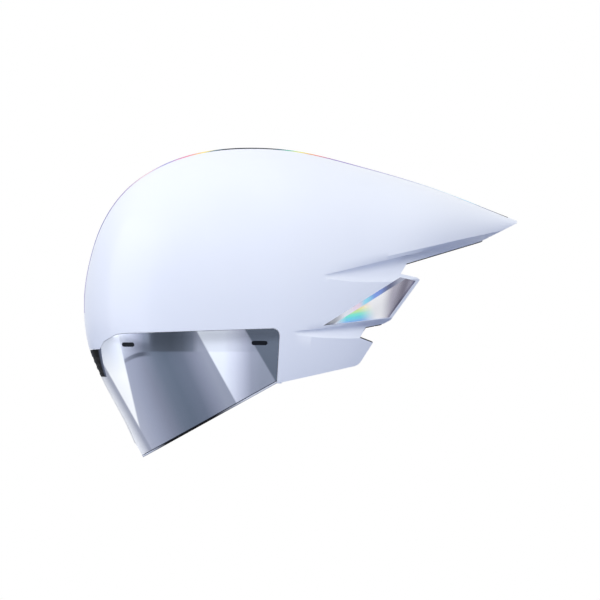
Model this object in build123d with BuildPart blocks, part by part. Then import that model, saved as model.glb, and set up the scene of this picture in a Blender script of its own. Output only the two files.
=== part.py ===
from build123d import *
from math import cos, pi, radians, sin, sqrt
import os

# Aero time trial helmet, in millimetres.
# Front is -X, tail is +X, the wearer's left is -Y and up is +Z.
# The origin is the centre of the head opening, level with the top of the visor.

# Outer form
nose_reach = 133.0        # head centre to the foremost point of the brow
shell_length = 381.0      # foremost point to tail tip
nose_height = 21.0        # foremost point above the origin
crown_rise = 139.5        # crown above the foremost point
skirt_drop = 171.0        # hidden underside of the form below the foremost point
half_width = 104.0        # widest half width, over the ears
tip_cut = 0.35            # flat left on the nose where the form starts
tail_reach = shell_length - nose_reach
crown_height = nose_height + crown_rise

# Walls and fits
shell_wall = 2.4
lens_wall = 2.0
ledge_wall = 2.3          # recessed flange that backs the lens
skin_gap = 0.3            # between faces that only lie against each other
seam_gap = 0.4            # between the lens edge and the shell edge
inlay_gap = 0.1           # round trim that is glued into a recess
overrun = 30.0            # cutters run past what they cut

# Head and neck space
head_front = 104.0        # cavity from the centre to the brow
head_rear = 104.0         # cavity from the centre to the back
head_half_width = 82.0
head_top = 132.0          # cavity roof above the origin
head_level = 20.0         # where the walls of the cavity become upright
neck_half_width = 71.0    # between the side fins
neck_front = 52.0         # neck space starts this far behind the centre
neck_roof = 44.0
neck_round = 24.0

# Grooves along the flanks: where each starts and ends behind the centre
tail_groove_start = 79.0
tail_groove_end = 240.0
tail_groove_level = 48.4  # height of the start
tail_groove_slope_share = 0.248
fin_groove_start = 53.0
fin_groove_end = 148.0
fin_groove_level = -1.0
fin_groove_slope_share = 0.124
groove_height = 24.0      # full opening of a groove
groove_depth = 13.0       # full depth of a groove
groove_mouth = 0.6        # depth where a groove runs out
groove_mouth_height = 3.0
fin_groove_share = 0.62   # the lower groove is this much of the upper one
groove_growth_share = 0.62    # how quickly a groove opens behind its start

# Visor
brow_lap = 4.0            # the ledge reaches this far up behind the shell
lip_height = 2.6          # clear lip along the lower edge of the lens
nose_notch_top = -99.4    # height of the notch for the nose
nose_notch_half = 24.0
nose_notch_round = 9.0
vent_top_half = 45.0      # air intake at the top of the lens, half width
vent_bottom_half = 33.0
vent_bottom = -41.0
vent_top = -8.0
vent_sink = 0.2           # the intake frame lies this much under the lens face
vent_slot_height = 3.2
vent_slot_half = 27.0
vent_slot_pitch = 5.6
vent_slot_count = 3
vent_slot_low = -36.5
magnet_length = 14.0
magnet_height = 3.8
magnet_fit = 0.1
magnet_depth = 4.0
front_magnet = (-93.0, -12.5)   # places of the magnets seen from the side
rear_magnet = (22.0, -11.0)

# Trim
stripe_half_width = 15.0
stripe_brow_share = 0.75
stripe_tail_share = 0.35
stripe_wall = 0.7
stripe_end = 240.0
insert_sink = 0.9         # the fin inserts lie this far under the skin
insert_back = 4.6
fin_wall = 9.0            # thickness of the side fins at their tips

# Foam
tail_foam = 9.0           # foam above and beside the hollow tail
floor_wall = 2.2
dark_edge = 0.8           # edge of the foam and the tail floor that shows past the shell
hollow_start = 128.0
hollow_end = 214.0
hollow_half_width = 40.0
duct_start = 90.0
duct_half_width = 20.0
duct_low = 58.0
duct_height = 24.0
floor_slot_count = 4
floor_slot_start = 158.0
floor_slot_length = 34.0
floor_slot_width = 5.0
floor_slot_pitch = 11.0
crown_channel_width = 14.0
crown_channel_depth = 9.0
crown_channel_place = 25.0
glue_line = 0.3           # the liner is bonded from sections, parted by thin glue lines
foam_joints = (-15.0, 122.0)    # places of the glue lines across the liner

# Comfort pads
pad_wall = 5.0
brow_pad_half = 74.0
brow_pad_low = -9.0
brow_pad_high = 17.0
brow_pad_front = 46.0
crown_pad_length = 112.0
crown_pad_width = 22.0
side_pad_length = 74.0
side_pad_low = 32.0
side_pad_high = 74.0

# Fit system behind the head
fit_face = 84.0           # front face of the cradle behind the centre
yoke_wall = 3.0
yoke_radius = 67.0
yoke_half_angle = 32.0
yoke_half_height = 14.0
yoke_pad_wall = 2.4
yoke_pad_half_height = 11.0
yoke_pad_half_angle = 28.0
stem_half_width = 14.5
stem_wall = 3.0
stem_low = 10.0
stem_top = 41.0
stem_root = 2.0           # the stem reaches this far into the yoke
guide_low = 29.0
guide_wall = 1.8
guide_lip = 4.0
rail_half_width = 11.0
rail_wall = 3.0
rail_low = 27.5
rail_top = 62.0
rail_foot_low = 50.5
running_gap = 0.3
housing_radius = 18.0
housing_depth = 9.0
housing_wall = 1.8
dial_radius = 15.0
dial_depth = 8.5
dial_rib_count = 20
dial_rib_radius = 1.1
dial_recess = 2.4
dial_recess_radius = 6.0
dial_chamfer = 1.0
pinion_pitch_radius = 4.5
pinion_teeth = 10
tooth_height = 0.9        # above and below the pitch line
tooth_root = 1.3          # width of a tooth at its root
tooth_tip = 0.7
tooth_gap = 0.35          # between a tooth's tip and the root that faces it
pinion_length = 2.4
axle_radius = 1.6
axle_gap = 0.1
axle_seat = 2.0           # depth of the axle's end in the yoke
screw_head_radius = 2.8
screw_head_height = 1.4
screw_radius = 0.8
screw_length = 4.0
belt_wall = 1.6
belt_half_height = 9.0
belt_start = 25.0
belt_straight = 1.0
belt_end = (56.0, 59.0)
rack_height = 3.0
rack_reach = 8.4          # rack past the pinion's axis
belt_tighten = 8.0
belt_loosen = 6.0

# Straps, folded up inside
strap_width = 15.0
strap_wall = 1.4
strap_gap = 0.1
anchor_radius = 6.0
anchor_wall = 4.0
front_anchor = (8.0, 79.0, -8.0)
rear_anchor = (88.0, 69.6, 8.0)
front_leg_end = (45.0, 68.8, -26.0)
rear_leg_end = (60.0, 68.8, -24.0)
chin_start = (57.0, 66.3, -29.0)
chin_end = (80.0, 66.3, -21.5)
divider_place = (52.0, 67.5, -29.0)
divider_length = 26.0
divider_height = 18.0
divider_wall = 5.0
divider_round = 4.0
lever_length = 16.0
lever_height = 12.0
lever_wall = 1.8
lever_place = 8.0         # the lever's pin ahead of the divider's middle
lever_pin_radius = 0.8
lever_barrel_radius = 1.6
lug_height = 2.0
lug_wall = 1.0
buckle_place = (86.0, 65.4, -20.0)
buckle_length = 24.0
buckle_height = 19.0
buckle_wall = 5.0
buckle_round = 3.0
buckle_mouth_height = 13.0
buckle_mouth_wall = 2.6
prong_length = 11.0
prong_height = 3.6
prong_wall = 2.2

# Form of the outer body at equal steps of the root of the length:
# crown, underside, half width and height of the widest line
body_shares = [
    (0.000, 0.000, 0.000, 0.000),
    (0.245, 0.196, 0.240, 0.000),
    (0.506, 0.368, 0.467, 0.000),
    (0.713, 0.578, 0.673, 0.000),
    (0.860, 0.880, 0.827, 0.000),
    (0.957, 1.000, 0.928, 0.000),
    (0.998, 1.000, 0.981, 0.000),
    (0.978, 0.950, 1.000, 0.000),
    (0.880, 0.710, 0.890, 0.060),
    (0.741, 0.060, 0.600, 0.360),
    (0.540, -0.402, 0.070, 0.514),
]
body_sections = 20
first_share = sqrt(tip_cut / shell_length)
nose_share = 0.30         # the inset of inner walls fades in over this share
fullness_share = 0.60     # how far each quarter of a section bulges


def body_value(column, along):
    """Smooth value between the rows of the body's shares."""
    last = len(body_shares) - 1
    row = min(int(along * last), last - 1)
    part = along * last - row

    def slope(index):
        before = max(index - 1, 0)
        after = min(index + 1, last)
        return (body_shares[after][column] - body_shares[before][column]) / (after - before)

    start = body_shares[row][column]
    end = body_shares[row + 1][column]
    rise = (start * (1 + 2 * part) + slope(row) * part) * (1 - part) ** 2
    fall = (end * (3 - 2 * part) - slope(row + 1) * (1 - part)) * part ** 2
    return rise + fall


def body_section(along, inset):
    """Place and sizes of one section, drawn in by an inset."""
    fade = inset * min(1, along / nose_share)
    x = inset - nose_reach + (shell_length - 2 * inset) * along ** 2
    middle = nose_height + crown_rise * body_value(3, along)
    top = nose_height + crown_rise * body_value(0, along) - fade
    bottom = nose_height - skirt_drop * body_value(1, along) + fade
    wide = half_width * body_value(2, along) - fade
    return x, wide, top, middle, bottom


def quarter(wide, middle, end, part):
    """Point on the quarter curve from the centre line, at end, out to the widest line."""
    rest = 1 - part
    bulge = fullness_share
    across = wide * (3 * bulge * rest * rest * part + 3 * rest * part ** 2 + part ** 3)
    near = rest ** 3 + 3 * rest * rest * part + 3 * bulge * rest * part ** 2
    return across, middle + (end - middle) * near


def skin_half_width(x, z, inset=0):
    """Half width of the body at a place seen from the side."""
    along = sqrt((x + nose_reach - inset) / (shell_length - 2 * inset))
    _, wide, top, middle, bottom = body_section(along, inset)
    end = top if z > middle else bottom
    low, high = 0, 1
    for _ in range(40):
        part = (low + high) / 2
        if abs(quarter(wide, middle, end, part)[1] - middle) > abs(z - middle):
            low = part
        else:
            high = part
    return quarter(wide, middle, end, low)[0]


def section(x, wide, top, middle, bottom):
    """Upright section at x, made of four quarter curves."""
    with BuildSketch(Plane.YZ.offset(x)) as outline:
        with BuildLine():
            for side in (1, -1):
                for end in (top, bottom):
                    flank = middle + fullness_share * (end - middle)
                    Bezier(
                        (0, end),
                        (side * fullness_share * wide, end),
                        (side * wide, flank),
                        (side * wide, middle),
                    )
        make_face()
    return outline.sketch


def body(inset):
    """The closed outer form, drawn in by an inset."""
    with BuildPart() as form:
        for index in range(body_sections):
            along = first_share + (1 - first_share) * index / (body_sections - 1)
            add(section(*body_section(along, inset)))
        loft()
    return form.part


# Outlines seen from the side, as shares of the tail's reach and the crown's height
brow_line_shares = [
    (-0.700, -0.131),
    (-0.476, -0.103),
    (-0.462, -0.062),
    (-0.417, -0.022),
    (-0.390, -0.016),
    (0.161, 0.0125),
]
ear_front_shares = (0.150, -0.288)
ear_rear_shares = [(0.436, -0.190), (0.487, -0.063), (0.441, -0.036)]
fin_edge_shares = [
    (0.462, 0.012),
    (0.524, 0.030),
    (0.549, 0.055),
    (0.653, 0.274),
    (0.642, 0.287),
    (0.585, 0.307),
]
tail_line_shares = [(0.607, 0.358), (0.871, 0.480), (1.100, 0.658)]
ledge_line_shares = [
    (-0.700, -0.210),
    (-0.419, -0.199),
    (-0.290, -0.123),
    (0.021, -0.131),
    (0.089, -0.131),
    (0.133, -0.288),
]
foam_brow_shares = [(-0.700, -0.085), (0.085, -0.100), (0.139, -0.279)]
lens_bottom_shares = [(0.149, -0.288), (-0.700, -1.019)]
window_shares = [
    (0.3125, 0.026),
    (0.583, 0.288),
    (0.638, 0.269),
    (0.544, 0.070),
    (0.359, 0.034),
]
stripe_low_shares = [(-0.700, 0.093), (0.450, 0.100), (0.800, 0.560), (1.000, 0.595)]
corner_round = 6.0
ear_round = 10.0


def side_points(shares, shift_x=0, shift_z=0):
    """Points of a side outline in real sizes, shifted."""
    return [(x * tail_reach + shift_x, z * crown_height + shift_z) for x, z in shares]


def side_prism(points, rounds=()):
    """Solid as wide as the helmet with the given side outline.

    Each round is a corner's point and its radius.
    """
    with BuildPart() as prism:
        with BuildSketch(Plane.XZ) as side:
            with BuildLine():
                Polyline(*points, close=True)
            make_face()
            for point, radius in rounds:
                corner = side.vertices().sort_by_distance(Vector(point[0], point[1]))[0]
                fillet(corner, radius)
        extrude(amount=half_width + overrun, both=True)
    return prism.part


# Grooves: each runs back and up along a flank, steep above and open below
groove_far = half_width + overrun
groove_sections = 6


def groove_size(x, start, full):
    """Depth and height of a groove at one place behind its start."""
    grown = min(1, max(0, x - start) / (tail_groove_end - tail_groove_start) / groove_growth_share)
    eased = grown * (2 - grown)
    depth = groove_mouth + (groove_depth * full - groove_mouth) * eased
    height = groove_mouth_height + (groove_height * full - groove_mouth_height) * eased
    return depth, height


def groove(side, start, end, level, slope, full, inset):
    """Cutter for one groove on one side, grown by an inset."""
    with BuildPart() as cutter:
        for index in range(groove_sections):
            x = start + (end - start) * index / (groove_sections - 1)
            depth, height = groove_size(x, start, full)
            top = level + slope * (x - start)
            low = top - height
            upper = (side * skin_half_width(x, top, inset), top + inset)
            lower = (side * skin_half_width(x, low, inset), low - inset)
            floor = min(upper[0] * side, lower[0] * side) - depth
            with BuildSketch(Plane.YZ.offset(x)):
                with BuildLine():
                    Bezier(
                        upper,
                        (side * (floor - depth / 3), top - height / 6 + inset),
                        (side * floor, low + height / 3 - inset),
                        lower,
                    )
                    Polyline(lower, (side * groove_far, lower[1]), (side * groove_far, upper[1]), upper)
                make_face()
        loft()
    return cutter.part


def skin(inset):
    """The outer form with its grooves, drawn in by an inset."""
    with BuildPart() as form:
        add(body(inset))
        for side in (1, -1):
            add(
                groove(side, tail_groove_start, tail_groove_end, tail_groove_level,
                       tail_groove_slope_share, 1, inset),
                mode=Mode.SUBTRACT,
            )
            add(
                groove(side, fin_groove_start, fin_groove_end, fin_groove_level,
                       fin_groove_slope_share, fin_groove_share, inset),
                mode=Mode.SUBTRACT,
            )
    return form.part


brow_line = side_points(brow_line_shares)
ear_front = side_points([ear_front_shares])[0]
brow_corner = brow_line[-1]
ear_rear = side_points(ear_rear_shares)
fin_edge = side_points(fin_edge_shares)
tail_line = side_points(tail_line_shares)
roof = crown_height + overrun

# Head and neck space
head_sections = 8
head_turn = 84.0              # degrees from the first section to the widest one


def head_space(inset):
    """Egg-shaped space for the head, open below, drawn in by an inset."""
    with BuildPart() as space:
        for index in range(head_sections):
            turn = radians(90 - head_turn * (1 - index / (head_sections - 1)))
            level = head_level + (head_top - inset - head_level) * cos(turn)
            with BuildSketch(Plane.XY.offset(level)):
                Ellipse((head_front - inset) * sin(turn), (head_half_width - inset) * sin(turn))
        loft()
        with BuildSketch(Plane.XY.offset(head_level)):
            Ellipse(head_front - inset, head_half_width - inset)
        extrude(amount=-(head_level + skirt_drop))
    return space.part


fin_tip = fin_edge[3][0]
neck_stations = [neck_front, fin_edge[0][0], fin_edge[2][0], fin_tip, fin_tip + overrun]


def neck_half(x):
    """Half width of the neck space: the side fins keep their thickness."""
    return min(neck_half_width, skin_half_width(min(x, fin_tip), neck_roof) - fin_wall)


with BuildPart() as neck_space:
    for station in neck_stations:
        wide = neck_half(station)
        with BuildSketch(Plane.YZ.offset(station)):
            with Locations((0, neck_roof - skirt_drop)):
                RectangleRounded(2 * wide, 2 * skirt_drop, min(neck_round, wide / 2))
    loft(ruled=True)


os.makedirs("parts", exist_ok=True)
sides = ((-1, "left"), (1, "right"))
keep_side = {"left": Keep.TOP, "right": Keep.BOTTOM}

body_outer = body(0)
skin_foam = skin(shell_wall + skin_gap)
shell_side = side_prism(
    [(brow_line[0][0], roof)]
    + brow_line
    + [ear_front, ear_rear[0]]
    + [(x, z - dark_edge) for x, z in ear_rear[1:]]
    + [(x, z + dark_edge) for x, z in fin_edge[:2]]
    + fin_edge[2:]
    + [(x, z + dark_edge) for x, z in tail_line]
    + [(tail_line[-1][0], roof)],
    rounds=[(brow_corner, corner_round), (ear_rear[0], ear_round)],
)

# Recess for the crest stripe, and the stripe


def stripe_prism(gap):
    """Plan outline of the crest stripe, widest over the crown."""
    front = -(nose_reach + overrun)
    low = side_points(stripe_low_shares, 0, -gap)
    with BuildPart() as prism:
        with BuildSketch(Plane.XY):
            with BuildLine():
                wide = stripe_half_width + gap
                narrow = stripe_half_width * stripe_tail_share + gap
                brow = stripe_half_width * stripe_brow_share + gap
                Spline((front, brow), (0, wide), (stripe_end + gap, narrow))
                Spline((front, -brow), (0, -wide), (stripe_end + gap, -narrow))
                Line((front, brow), (front, -brow))
                Line((stripe_end + gap, narrow), (stripe_end + gap, -narrow))
            make_face()
        extrude(amount=roof)
        add(
            side_prism(low + [(low[-1][0], roof), (low[0][0], roof)]),
            mode=Mode.INTERSECT,
        )
    return prism.part


with BuildPart() as crest_stripe:
    add(body_outer)
    add(stripe_prism(0), mode=Mode.INTERSECT)
    add(body(stripe_wall), mode=Mode.SUBTRACT)
crest_stripe.part.label = "crest_stripe"
export_step(crest_stripe.part, "parts/crest_stripe.step")

with BuildPart() as stripe_room:
    add(stripe_prism(inlay_gap))
    add(body(stripe_wall + inlay_gap), mode=Mode.SUBTRACT)

# Fin inserts, and the window in the fins that takes them
window = side_points(window_shares)
with BuildPart() as window_room:
    add(side_prism(window))
    add(body(insert_back + skin_gap), mode=Mode.SUBTRACT)


def window_plug(gap):
    """Side outline of an insert, drawn in by a gap."""
    with BuildPart() as plug:
        with BuildSketch(Plane.XZ):
            with BuildLine():
                Polyline(*window, close=True)
            make_face()
            offset(amount=-gap, mode=Mode.REPLACE)
        extrude(amount=half_width + overrun, both=True)
    return plug.part


for _, name in sides:
    with BuildPart() as fin_insert:
        add(body(insert_sink))
        add(window_plug(inlay_gap), mode=Mode.INTERSECT)
        add(body(insert_back), mode=Mode.SUBTRACT)
        split(bisect_by=Plane.XZ, keep=keep_side[name])
    fin_insert.part.label = f"fin_insert_{name}"
    export_step(fin_insert.part, f"parts/fin_insert_{name}.step")

# Ledge behind the lens, part of the shell
def ledge_outline(gap):
    """Side outline of the ledge, grown by a gap behind the shell."""
    lap = brow_lap + gap
    upper = [(x, z + lap) for x, z in brow_line[:-1]]
    corner = [(brow_corner[0] + lap, brow_corner[1] + lap), (ear_front[0] + lap, ear_front[1])]
    return upper + corner + side_points(ledge_line_shares)[::-1]


with BuildPart() as ledge:
    add(body(ledge_wall))
    add(side_prism(ledge_outline(0)), mode=Mode.INTERSECT)
    add(body(ledge_wall + shell_wall), mode=Mode.SUBTRACT)


def vent_prism(gap):
    """Front outline of the air intake, drawn in by a gap."""
    with BuildPart() as prism:
        with BuildSketch(Plane.YZ.offset(-(nose_reach + overrun))):
            with BuildLine():
                Polyline(
                    (-vent_top_half + gap, vent_top),
                    (vent_top_half - gap, vent_top),
                    (vent_bottom_half - gap, vent_bottom + gap),
                    (-vent_bottom_half + gap, vent_bottom + gap),
                    close=True,
                )
            make_face()
        extrude(amount=nose_reach / 2 + overrun)
    return prism.part


# Magnets: pills square to the skin
def skin_plane(side, x, z):
    """Plane on the skin at a place seen from the side, facing outwards."""
    step = magnet_height
    slope = (skin_half_width(x + step, z) - skin_half_width(x - step, z)) / (2 * step)
    origin = (x, side * skin_half_width(x, z), z)
    return Plane(origin=origin, x_dir=(1, side * slope, 0), z_dir=(-slope, side, 0))


def magnet_pills(gap):
    """The four pills, grown by a gap."""
    with BuildPart() as pills:
        for side, _ in sides:
            for x, z in (front_magnet, rear_magnet):
                with BuildSketch(skin_plane(side, x, z)):
                    SlotOverall(magnet_length + 2 * gap, magnet_height + 2 * gap)
                extrude(amount=magnet_depth + shell_wall, both=True)
    return pills.part


pills = magnet_pills(0)
pill_rooms = magnet_pills(magnet_fit)
with BuildPart() as shell_magnets:
    add(ledge.part)
    add(pills, mode=Mode.INTERSECT)
shell_magnets.part.label = "shell_magnets"
export_step(shell_magnets.part, "parts/shell_magnets.step")

# Outer shell
with BuildPart() as outer_shell:
    add(skin(0))
    add(skin(shell_wall), mode=Mode.SUBTRACT)
    add(shell_side, mode=Mode.INTERSECT)
    add(ledge.part)
    add(neck_space.part, mode=Mode.SUBTRACT)
    add(window_room.part, mode=Mode.SUBTRACT)
    add(stripe_room.part, mode=Mode.SUBTRACT)
    add(pill_rooms, mode=Mode.SUBTRACT)
    with BuildSketch(Plane.YZ.offset(-(nose_reach + overrun))):
        with Locations((0, vent_bottom)):
            Rectangle(2 * vent_bottom_half, 2 * (brow_line[0][1] - brow_lap / 2 - vent_bottom))
    extrude(amount=nose_reach / 2 + overrun, mode=Mode.SUBTRACT)
outer_shell.part.label = "outer_shell"
export_step(outer_shell.part, "parts/outer_shell.step")

# Visor lens, its lip, its air intake and its magnets
lens_bottom = side_points(lens_bottom_shares)
lens_top = [(x, z - seam_gap) for x, z in brow_line[:-1]]
lens_corner = (brow_corner[0] - seam_gap, brow_corner[1] - seam_gap)
lens_side = side_prism(
    lens_top
    + [lens_corner, (ear_front[0] - seam_gap, lens_bottom[0][1] + lip_height)]
    + [(lens_bottom[1][0], lens_bottom[1][1] + lip_height)],
    rounds=[(lens_corner, corner_round)],
)
lip_side = side_prism(
    [
        (ear_front[0] - seam_gap, lens_bottom[0][1] + lip_height),
        (ear_front[0] - seam_gap, lens_bottom[0][1]),
        lens_bottom[1],
        (lens_bottom[1][0], lens_bottom[1][1] + lip_height),
    ]
)
with BuildPart() as nose_notch:
    with BuildSketch(Plane.YZ.offset(-(nose_reach + overrun))):
        with Locations((0, nose_notch_top - skirt_drop / 2)):
            RectangleRounded(2 * nose_notch_half, skirt_drop, nose_notch_round)
    extrude(amount=nose_reach)
body_lens = body(lens_wall)
with BuildPart() as lens_blank:
    add(body_outer)
    add(lens_side, mode=Mode.INTERSECT)
    add(body_lens, mode=Mode.SUBTRACT)
with BuildPart() as visor_lens:
    add(lens_blank.part)
    add(nose_notch.part, mode=Mode.SUBTRACT)
    add(vent_prism(0), mode=Mode.SUBTRACT)
    add(pill_rooms, mode=Mode.SUBTRACT)
visor_lens.part.label = "visor_lens"
export_step(visor_lens.part, "parts/visor_lens.step")

with BuildPart() as visor_lip:
    add(body_outer)
    add(lip_side, mode=Mode.INTERSECT)
    add(body_lens, mode=Mode.SUBTRACT)
    add(nose_notch.part, mode=Mode.SUBTRACT)
visor_lip.part.label = "visor_lip"
export_step(visor_lip.part, "parts/visor_lip.step")

with BuildPart() as visor_vent:
    add(body(vent_sink))
    add(lens_side, mode=Mode.INTERSECT)
    add(body_lens, mode=Mode.SUBTRACT)
    add(vent_prism(inlay_gap), mode=Mode.INTERSECT)
    with BuildSketch(Plane.YZ.offset(-(nose_reach + overrun))):
        for index in range(vent_slot_count):
            with Locations((0, vent_slot_low + index * vent_slot_pitch)):
                SlotOverall(2 * vent_slot_half + index * vent_slot_pitch, vent_slot_height)
    extrude(amount=nose_reach / 2 + overrun, mode=Mode.SUBTRACT)
visor_vent.part.label = "visor_vent"
export_step(visor_vent.part, "parts/visor_vent.step")

with BuildPart() as visor_magnets:
    add(lens_blank.part)
    add(pills, mode=Mode.INTERSECT)
visor_magnets.part.label = "visor_magnets"
export_step(visor_magnets.part, "parts/visor_magnets.step")

# Foam liner
anchor_points = [
    (x, side * y, z) for side, _ in sides for x, y, z in (front_anchor, rear_anchor)
]


def anchor_pins(gap):
    """The four anchor pins in the foam, grown by a gap."""
    with BuildPart() as pins:
        for x, y, z in anchor_points:
            outwards = 1 if y > 0 else -1
            with BuildSketch(Plane(origin=(x, y, z), x_dir=(1, 0, 0), z_dir=(0, outwards, 0))):
                Circle(anchor_radius + gap)
            extrude(amount=anchor_wall + gap)
    return pins.part


with BuildPart() as strap_anchors:
    add(anchor_pins(0))
strap_anchors.part.label = "strap_anchors"
export_step(strap_anchors.part, "parts/strap_anchors.step")

hollow_steps = 4
hollow_side = (
    [(hollow_start, tail_line[0][1] + floor_wall)]
    + [(x, z + floor_wall) for x, z in tail_line]
    + [(tail_line[-1][0], roof), (hollow_start, roof)]
)
with BuildPart() as tail_hollow:
    for index in range(hollow_steps + 1):
        x = hollow_start + (hollow_end - hollow_start) * index / hollow_steps
        along = sqrt((x + nose_reach) / shell_length)
        _, wide, top, middle, bottom = body_section(along, 0)
        wide = min(hollow_half_width, wide - groove_depth - tail_foam)
        add(section(x, wide, top - tail_foam - shell_wall, middle, bottom))
    loft()
    add(side_prism(hollow_side), mode=Mode.INTERSECT)

with BuildPart() as air_duct:
    with BuildSketch(Plane.YZ.offset(duct_start)):
        with Locations((0, duct_low)):
            Rectangle(2 * duct_half_width, duct_height, align=(Align.CENTER, Align.MIN))
    extrude(amount=hollow_start - duct_start + tail_foam)

with BuildPart() as crown_channels:
    add(head_space(-crown_channel_depth))
    with BuildSketch(Plane.XY.offset(duct_low)):
        with Locations((0, crown_channel_place), (0, -crown_channel_place)):
            Rectangle(2 * head_front, crown_channel_width)
    extrude(amount=head_top, mode=Mode.INTERSECT)

with BuildPart() as ledge_room:
    add(side_prism(ledge_outline(skin_gap)))
    add(body(ledge_wall + shell_wall + skin_gap), mode=Mode.SUBTRACT)

foam_side = side_prism(
    [(brow_line[0][0], roof)]
    + side_points(foam_brow_shares)
    + [(ear_rear[0][0] - dark_edge, ear_rear[0][1] + dark_edge)]
    + ear_rear[1:]
    + fin_edge[:2]
    + [(x - dark_edge, z) for x, z in fin_edge[2:]]
    + [(x, z + floor_wall) for x, z in tail_line]
    + [(tail_line[-1][0], roof)],
    rounds=[((ear_rear[0][0] - dark_edge, ear_rear[0][1] + dark_edge), ear_round)],
)
with BuildPart() as foam_liner:
    add(skin_foam)
    add(foam_side, mode=Mode.INTERSECT)
    add(head_space(0), mode=Mode.SUBTRACT)
    add(neck_space.part, mode=Mode.SUBTRACT)
    add(tail_hollow.part, mode=Mode.SUBTRACT)
    add(air_duct.part, mode=Mode.SUBTRACT)
    add(ledge_room.part, mode=Mode.SUBTRACT)
    add(window_room.part, mode=Mode.SUBTRACT)
    add(crown_channels.part, mode=Mode.SUBTRACT)
    add(anchor_pins(strap_gap), mode=Mode.SUBTRACT)
    for place in foam_joints:
        with Locations((place, 0, 0)):
            Box(glue_line, 2 * groove_far, 2 * roof, mode=Mode.SUBTRACT)
    Box(2 * shell_length, glue_line, 2 * roof, mode=Mode.SUBTRACT)
foam_liner.part.label = "foam_liner"
export_step(foam_liner.part, "parts/foam_liner.step")

# Dark floor under the tail, with the slots that let the air out
with BuildPart() as tail_floor:
    add(skin_foam)
    add(
        side_prism(tail_line + [(x, z + floor_wall) for x, z in tail_line[::-1]]),
        mode=Mode.INTERSECT,
    )
    split(bisect_by=Plane.YZ.offset(stripe_end), keep=Keep.BOTTOM)
    with BuildSketch(Plane.XY):
        for index in range(floor_slot_count):
            with Locations((floor_slot_start + index * floor_slot_pitch, 0)):
                SlotOverall(floor_slot_length, floor_slot_width, rotation=90)
    extrude(amount=roof, mode=Mode.SUBTRACT)
tail_floor.part.label = "tail_floor"
export_step(tail_floor.part, "parts/tail_floor.step")

# Comfort pads: slices of a layer inside the head space
with BuildPart() as pad_layer:
    add(head_space(skin_gap))
    add(head_space(skin_gap + pad_wall), mode=Mode.SUBTRACT)

with BuildPart() as brow_pad:
    add(pad_layer.part)
    with BuildSketch(Plane.XY.offset(brow_pad_low)):
        with Locations((-brow_pad_front, 0)):
            Rectangle(head_front, 2 * brow_pad_half, align=(Align.MAX, Align.CENTER))
    extrude(amount=brow_pad_high - brow_pad_low, mode=Mode.INTERSECT)
brow_pad.part.label = "brow_pad"
export_step(brow_pad.part, "parts/brow_pad.step")

with BuildPart() as crown_pad:
    add(pad_layer.part)
    with BuildSketch(Plane.XY.offset(side_pad_high)):
        Rectangle(crown_pad_length, crown_pad_width)
    extrude(amount=head_top, mode=Mode.INTERSECT)
crown_pad.part.label = "crown_pad"
export_step(crown_pad.part, "parts/crown_pad.step")

for side, name in sides:
    with BuildPart() as side_pad:
        add(pad_layer.part)
        with BuildSketch(Plane.XY.offset(side_pad_low)):
            with Locations((0, side * head_half_width / 2)):
                Rectangle(side_pad_length, head_half_width)
        extrude(amount=side_pad_high - side_pad_low, mode=Mode.INTERSECT)
    side_pad.part.label = f"side_pad_{name}"
    export_step(side_pad.part, f"parts/side_pad_{name}.step")

# Rail for the cradle, with its foot against the foam
stem_face = fit_face + yoke_wall + stem_wall
rail_face = stem_face + running_gap
with BuildPart() as fit_rail:
    with BuildSketch(Plane.XZ):
        with BuildLine():
            Polyline(
                (rail_face, rail_low),
                (rail_face + rail_wall, rail_low),
                (rail_face + rail_wall, rail_foot_low),
                (head_rear, rail_foot_low),
                (head_rear, rail_top),
                (rail_face, rail_top),
                close=True,
            )
        make_face()
    extrude(amount=rail_half_width, both=True)
    add(head_space(0), mode=Mode.INTERSECT)
fit_rail.part.label = "fit_rail"
export_step(fit_rail.part, "parts/fit_rail.step")

# Cradle: a curved yoke, a stem and a guide round the rail
yoke_centre = fit_face + yoke_wall - yoke_radius


def yoke_band(outer, inner, half_angle, half_height):
    """Upright band about the yoke's centre."""
    with BuildPart() as band:
        with BuildSketch(Plane.XY.offset(-half_height)):
            with BuildLine():
                out_arc = CenterArc((yoke_centre, 0), outer, -half_angle, 2 * half_angle)
                in_arc = CenterArc((yoke_centre, 0), inner, -half_angle, 2 * half_angle)
                Line(out_arc @ 0, in_arc @ 0)
                Line(out_arc @ 1, in_arc @ 1)
            make_face()
        extrude(amount=2 * half_height)
    return band.part


guide_half_width = rail_half_width + running_gap + guide_wall
guide_face = rail_face + rail_wall + running_gap
with BuildPart() as fit_cradle:
    add(yoke_band(yoke_radius, yoke_radius - yoke_wall, yoke_half_angle, yoke_half_height))
    with BuildSketch(Plane.YZ.offset(fit_face + yoke_wall - stem_root)):
        for low, high in ((stem_low, stem_top), (-yoke_half_height, -stem_low)):
            with Locations((0, (low + high) / 2)):
                Rectangle(2 * stem_half_width, high - low)
    extrude(amount=stem_wall + stem_root)
    with BuildSketch(Plane.XY.offset(guide_low)):
        with BuildLine():
            for side in (1, -1):
                Polyline(
                    (stem_face, side * (rail_half_width + running_gap)),
                    (guide_face, side * (rail_half_width + running_gap)),
                    (guide_face, side * (guide_half_width - guide_wall - guide_lip)),
                    (guide_face + guide_wall, side * (guide_half_width - guide_wall - guide_lip)),
                    (guide_face + guide_wall, side * guide_half_width),
                    (stem_face, side * guide_half_width),
                    close=True,
                )
        make_face()
    extrude(amount=stem_top - guide_low)
    with BuildSketch(Plane.YZ.offset(fit_face)):
        Circle(axle_radius + axle_gap)
    extrude(amount=yoke_wall + stem_wall, mode=Mode.SUBTRACT)
fit_cradle.part.label = "fit_cradle"
export_step(fit_cradle.part, "parts/fit_cradle.step")

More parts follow.
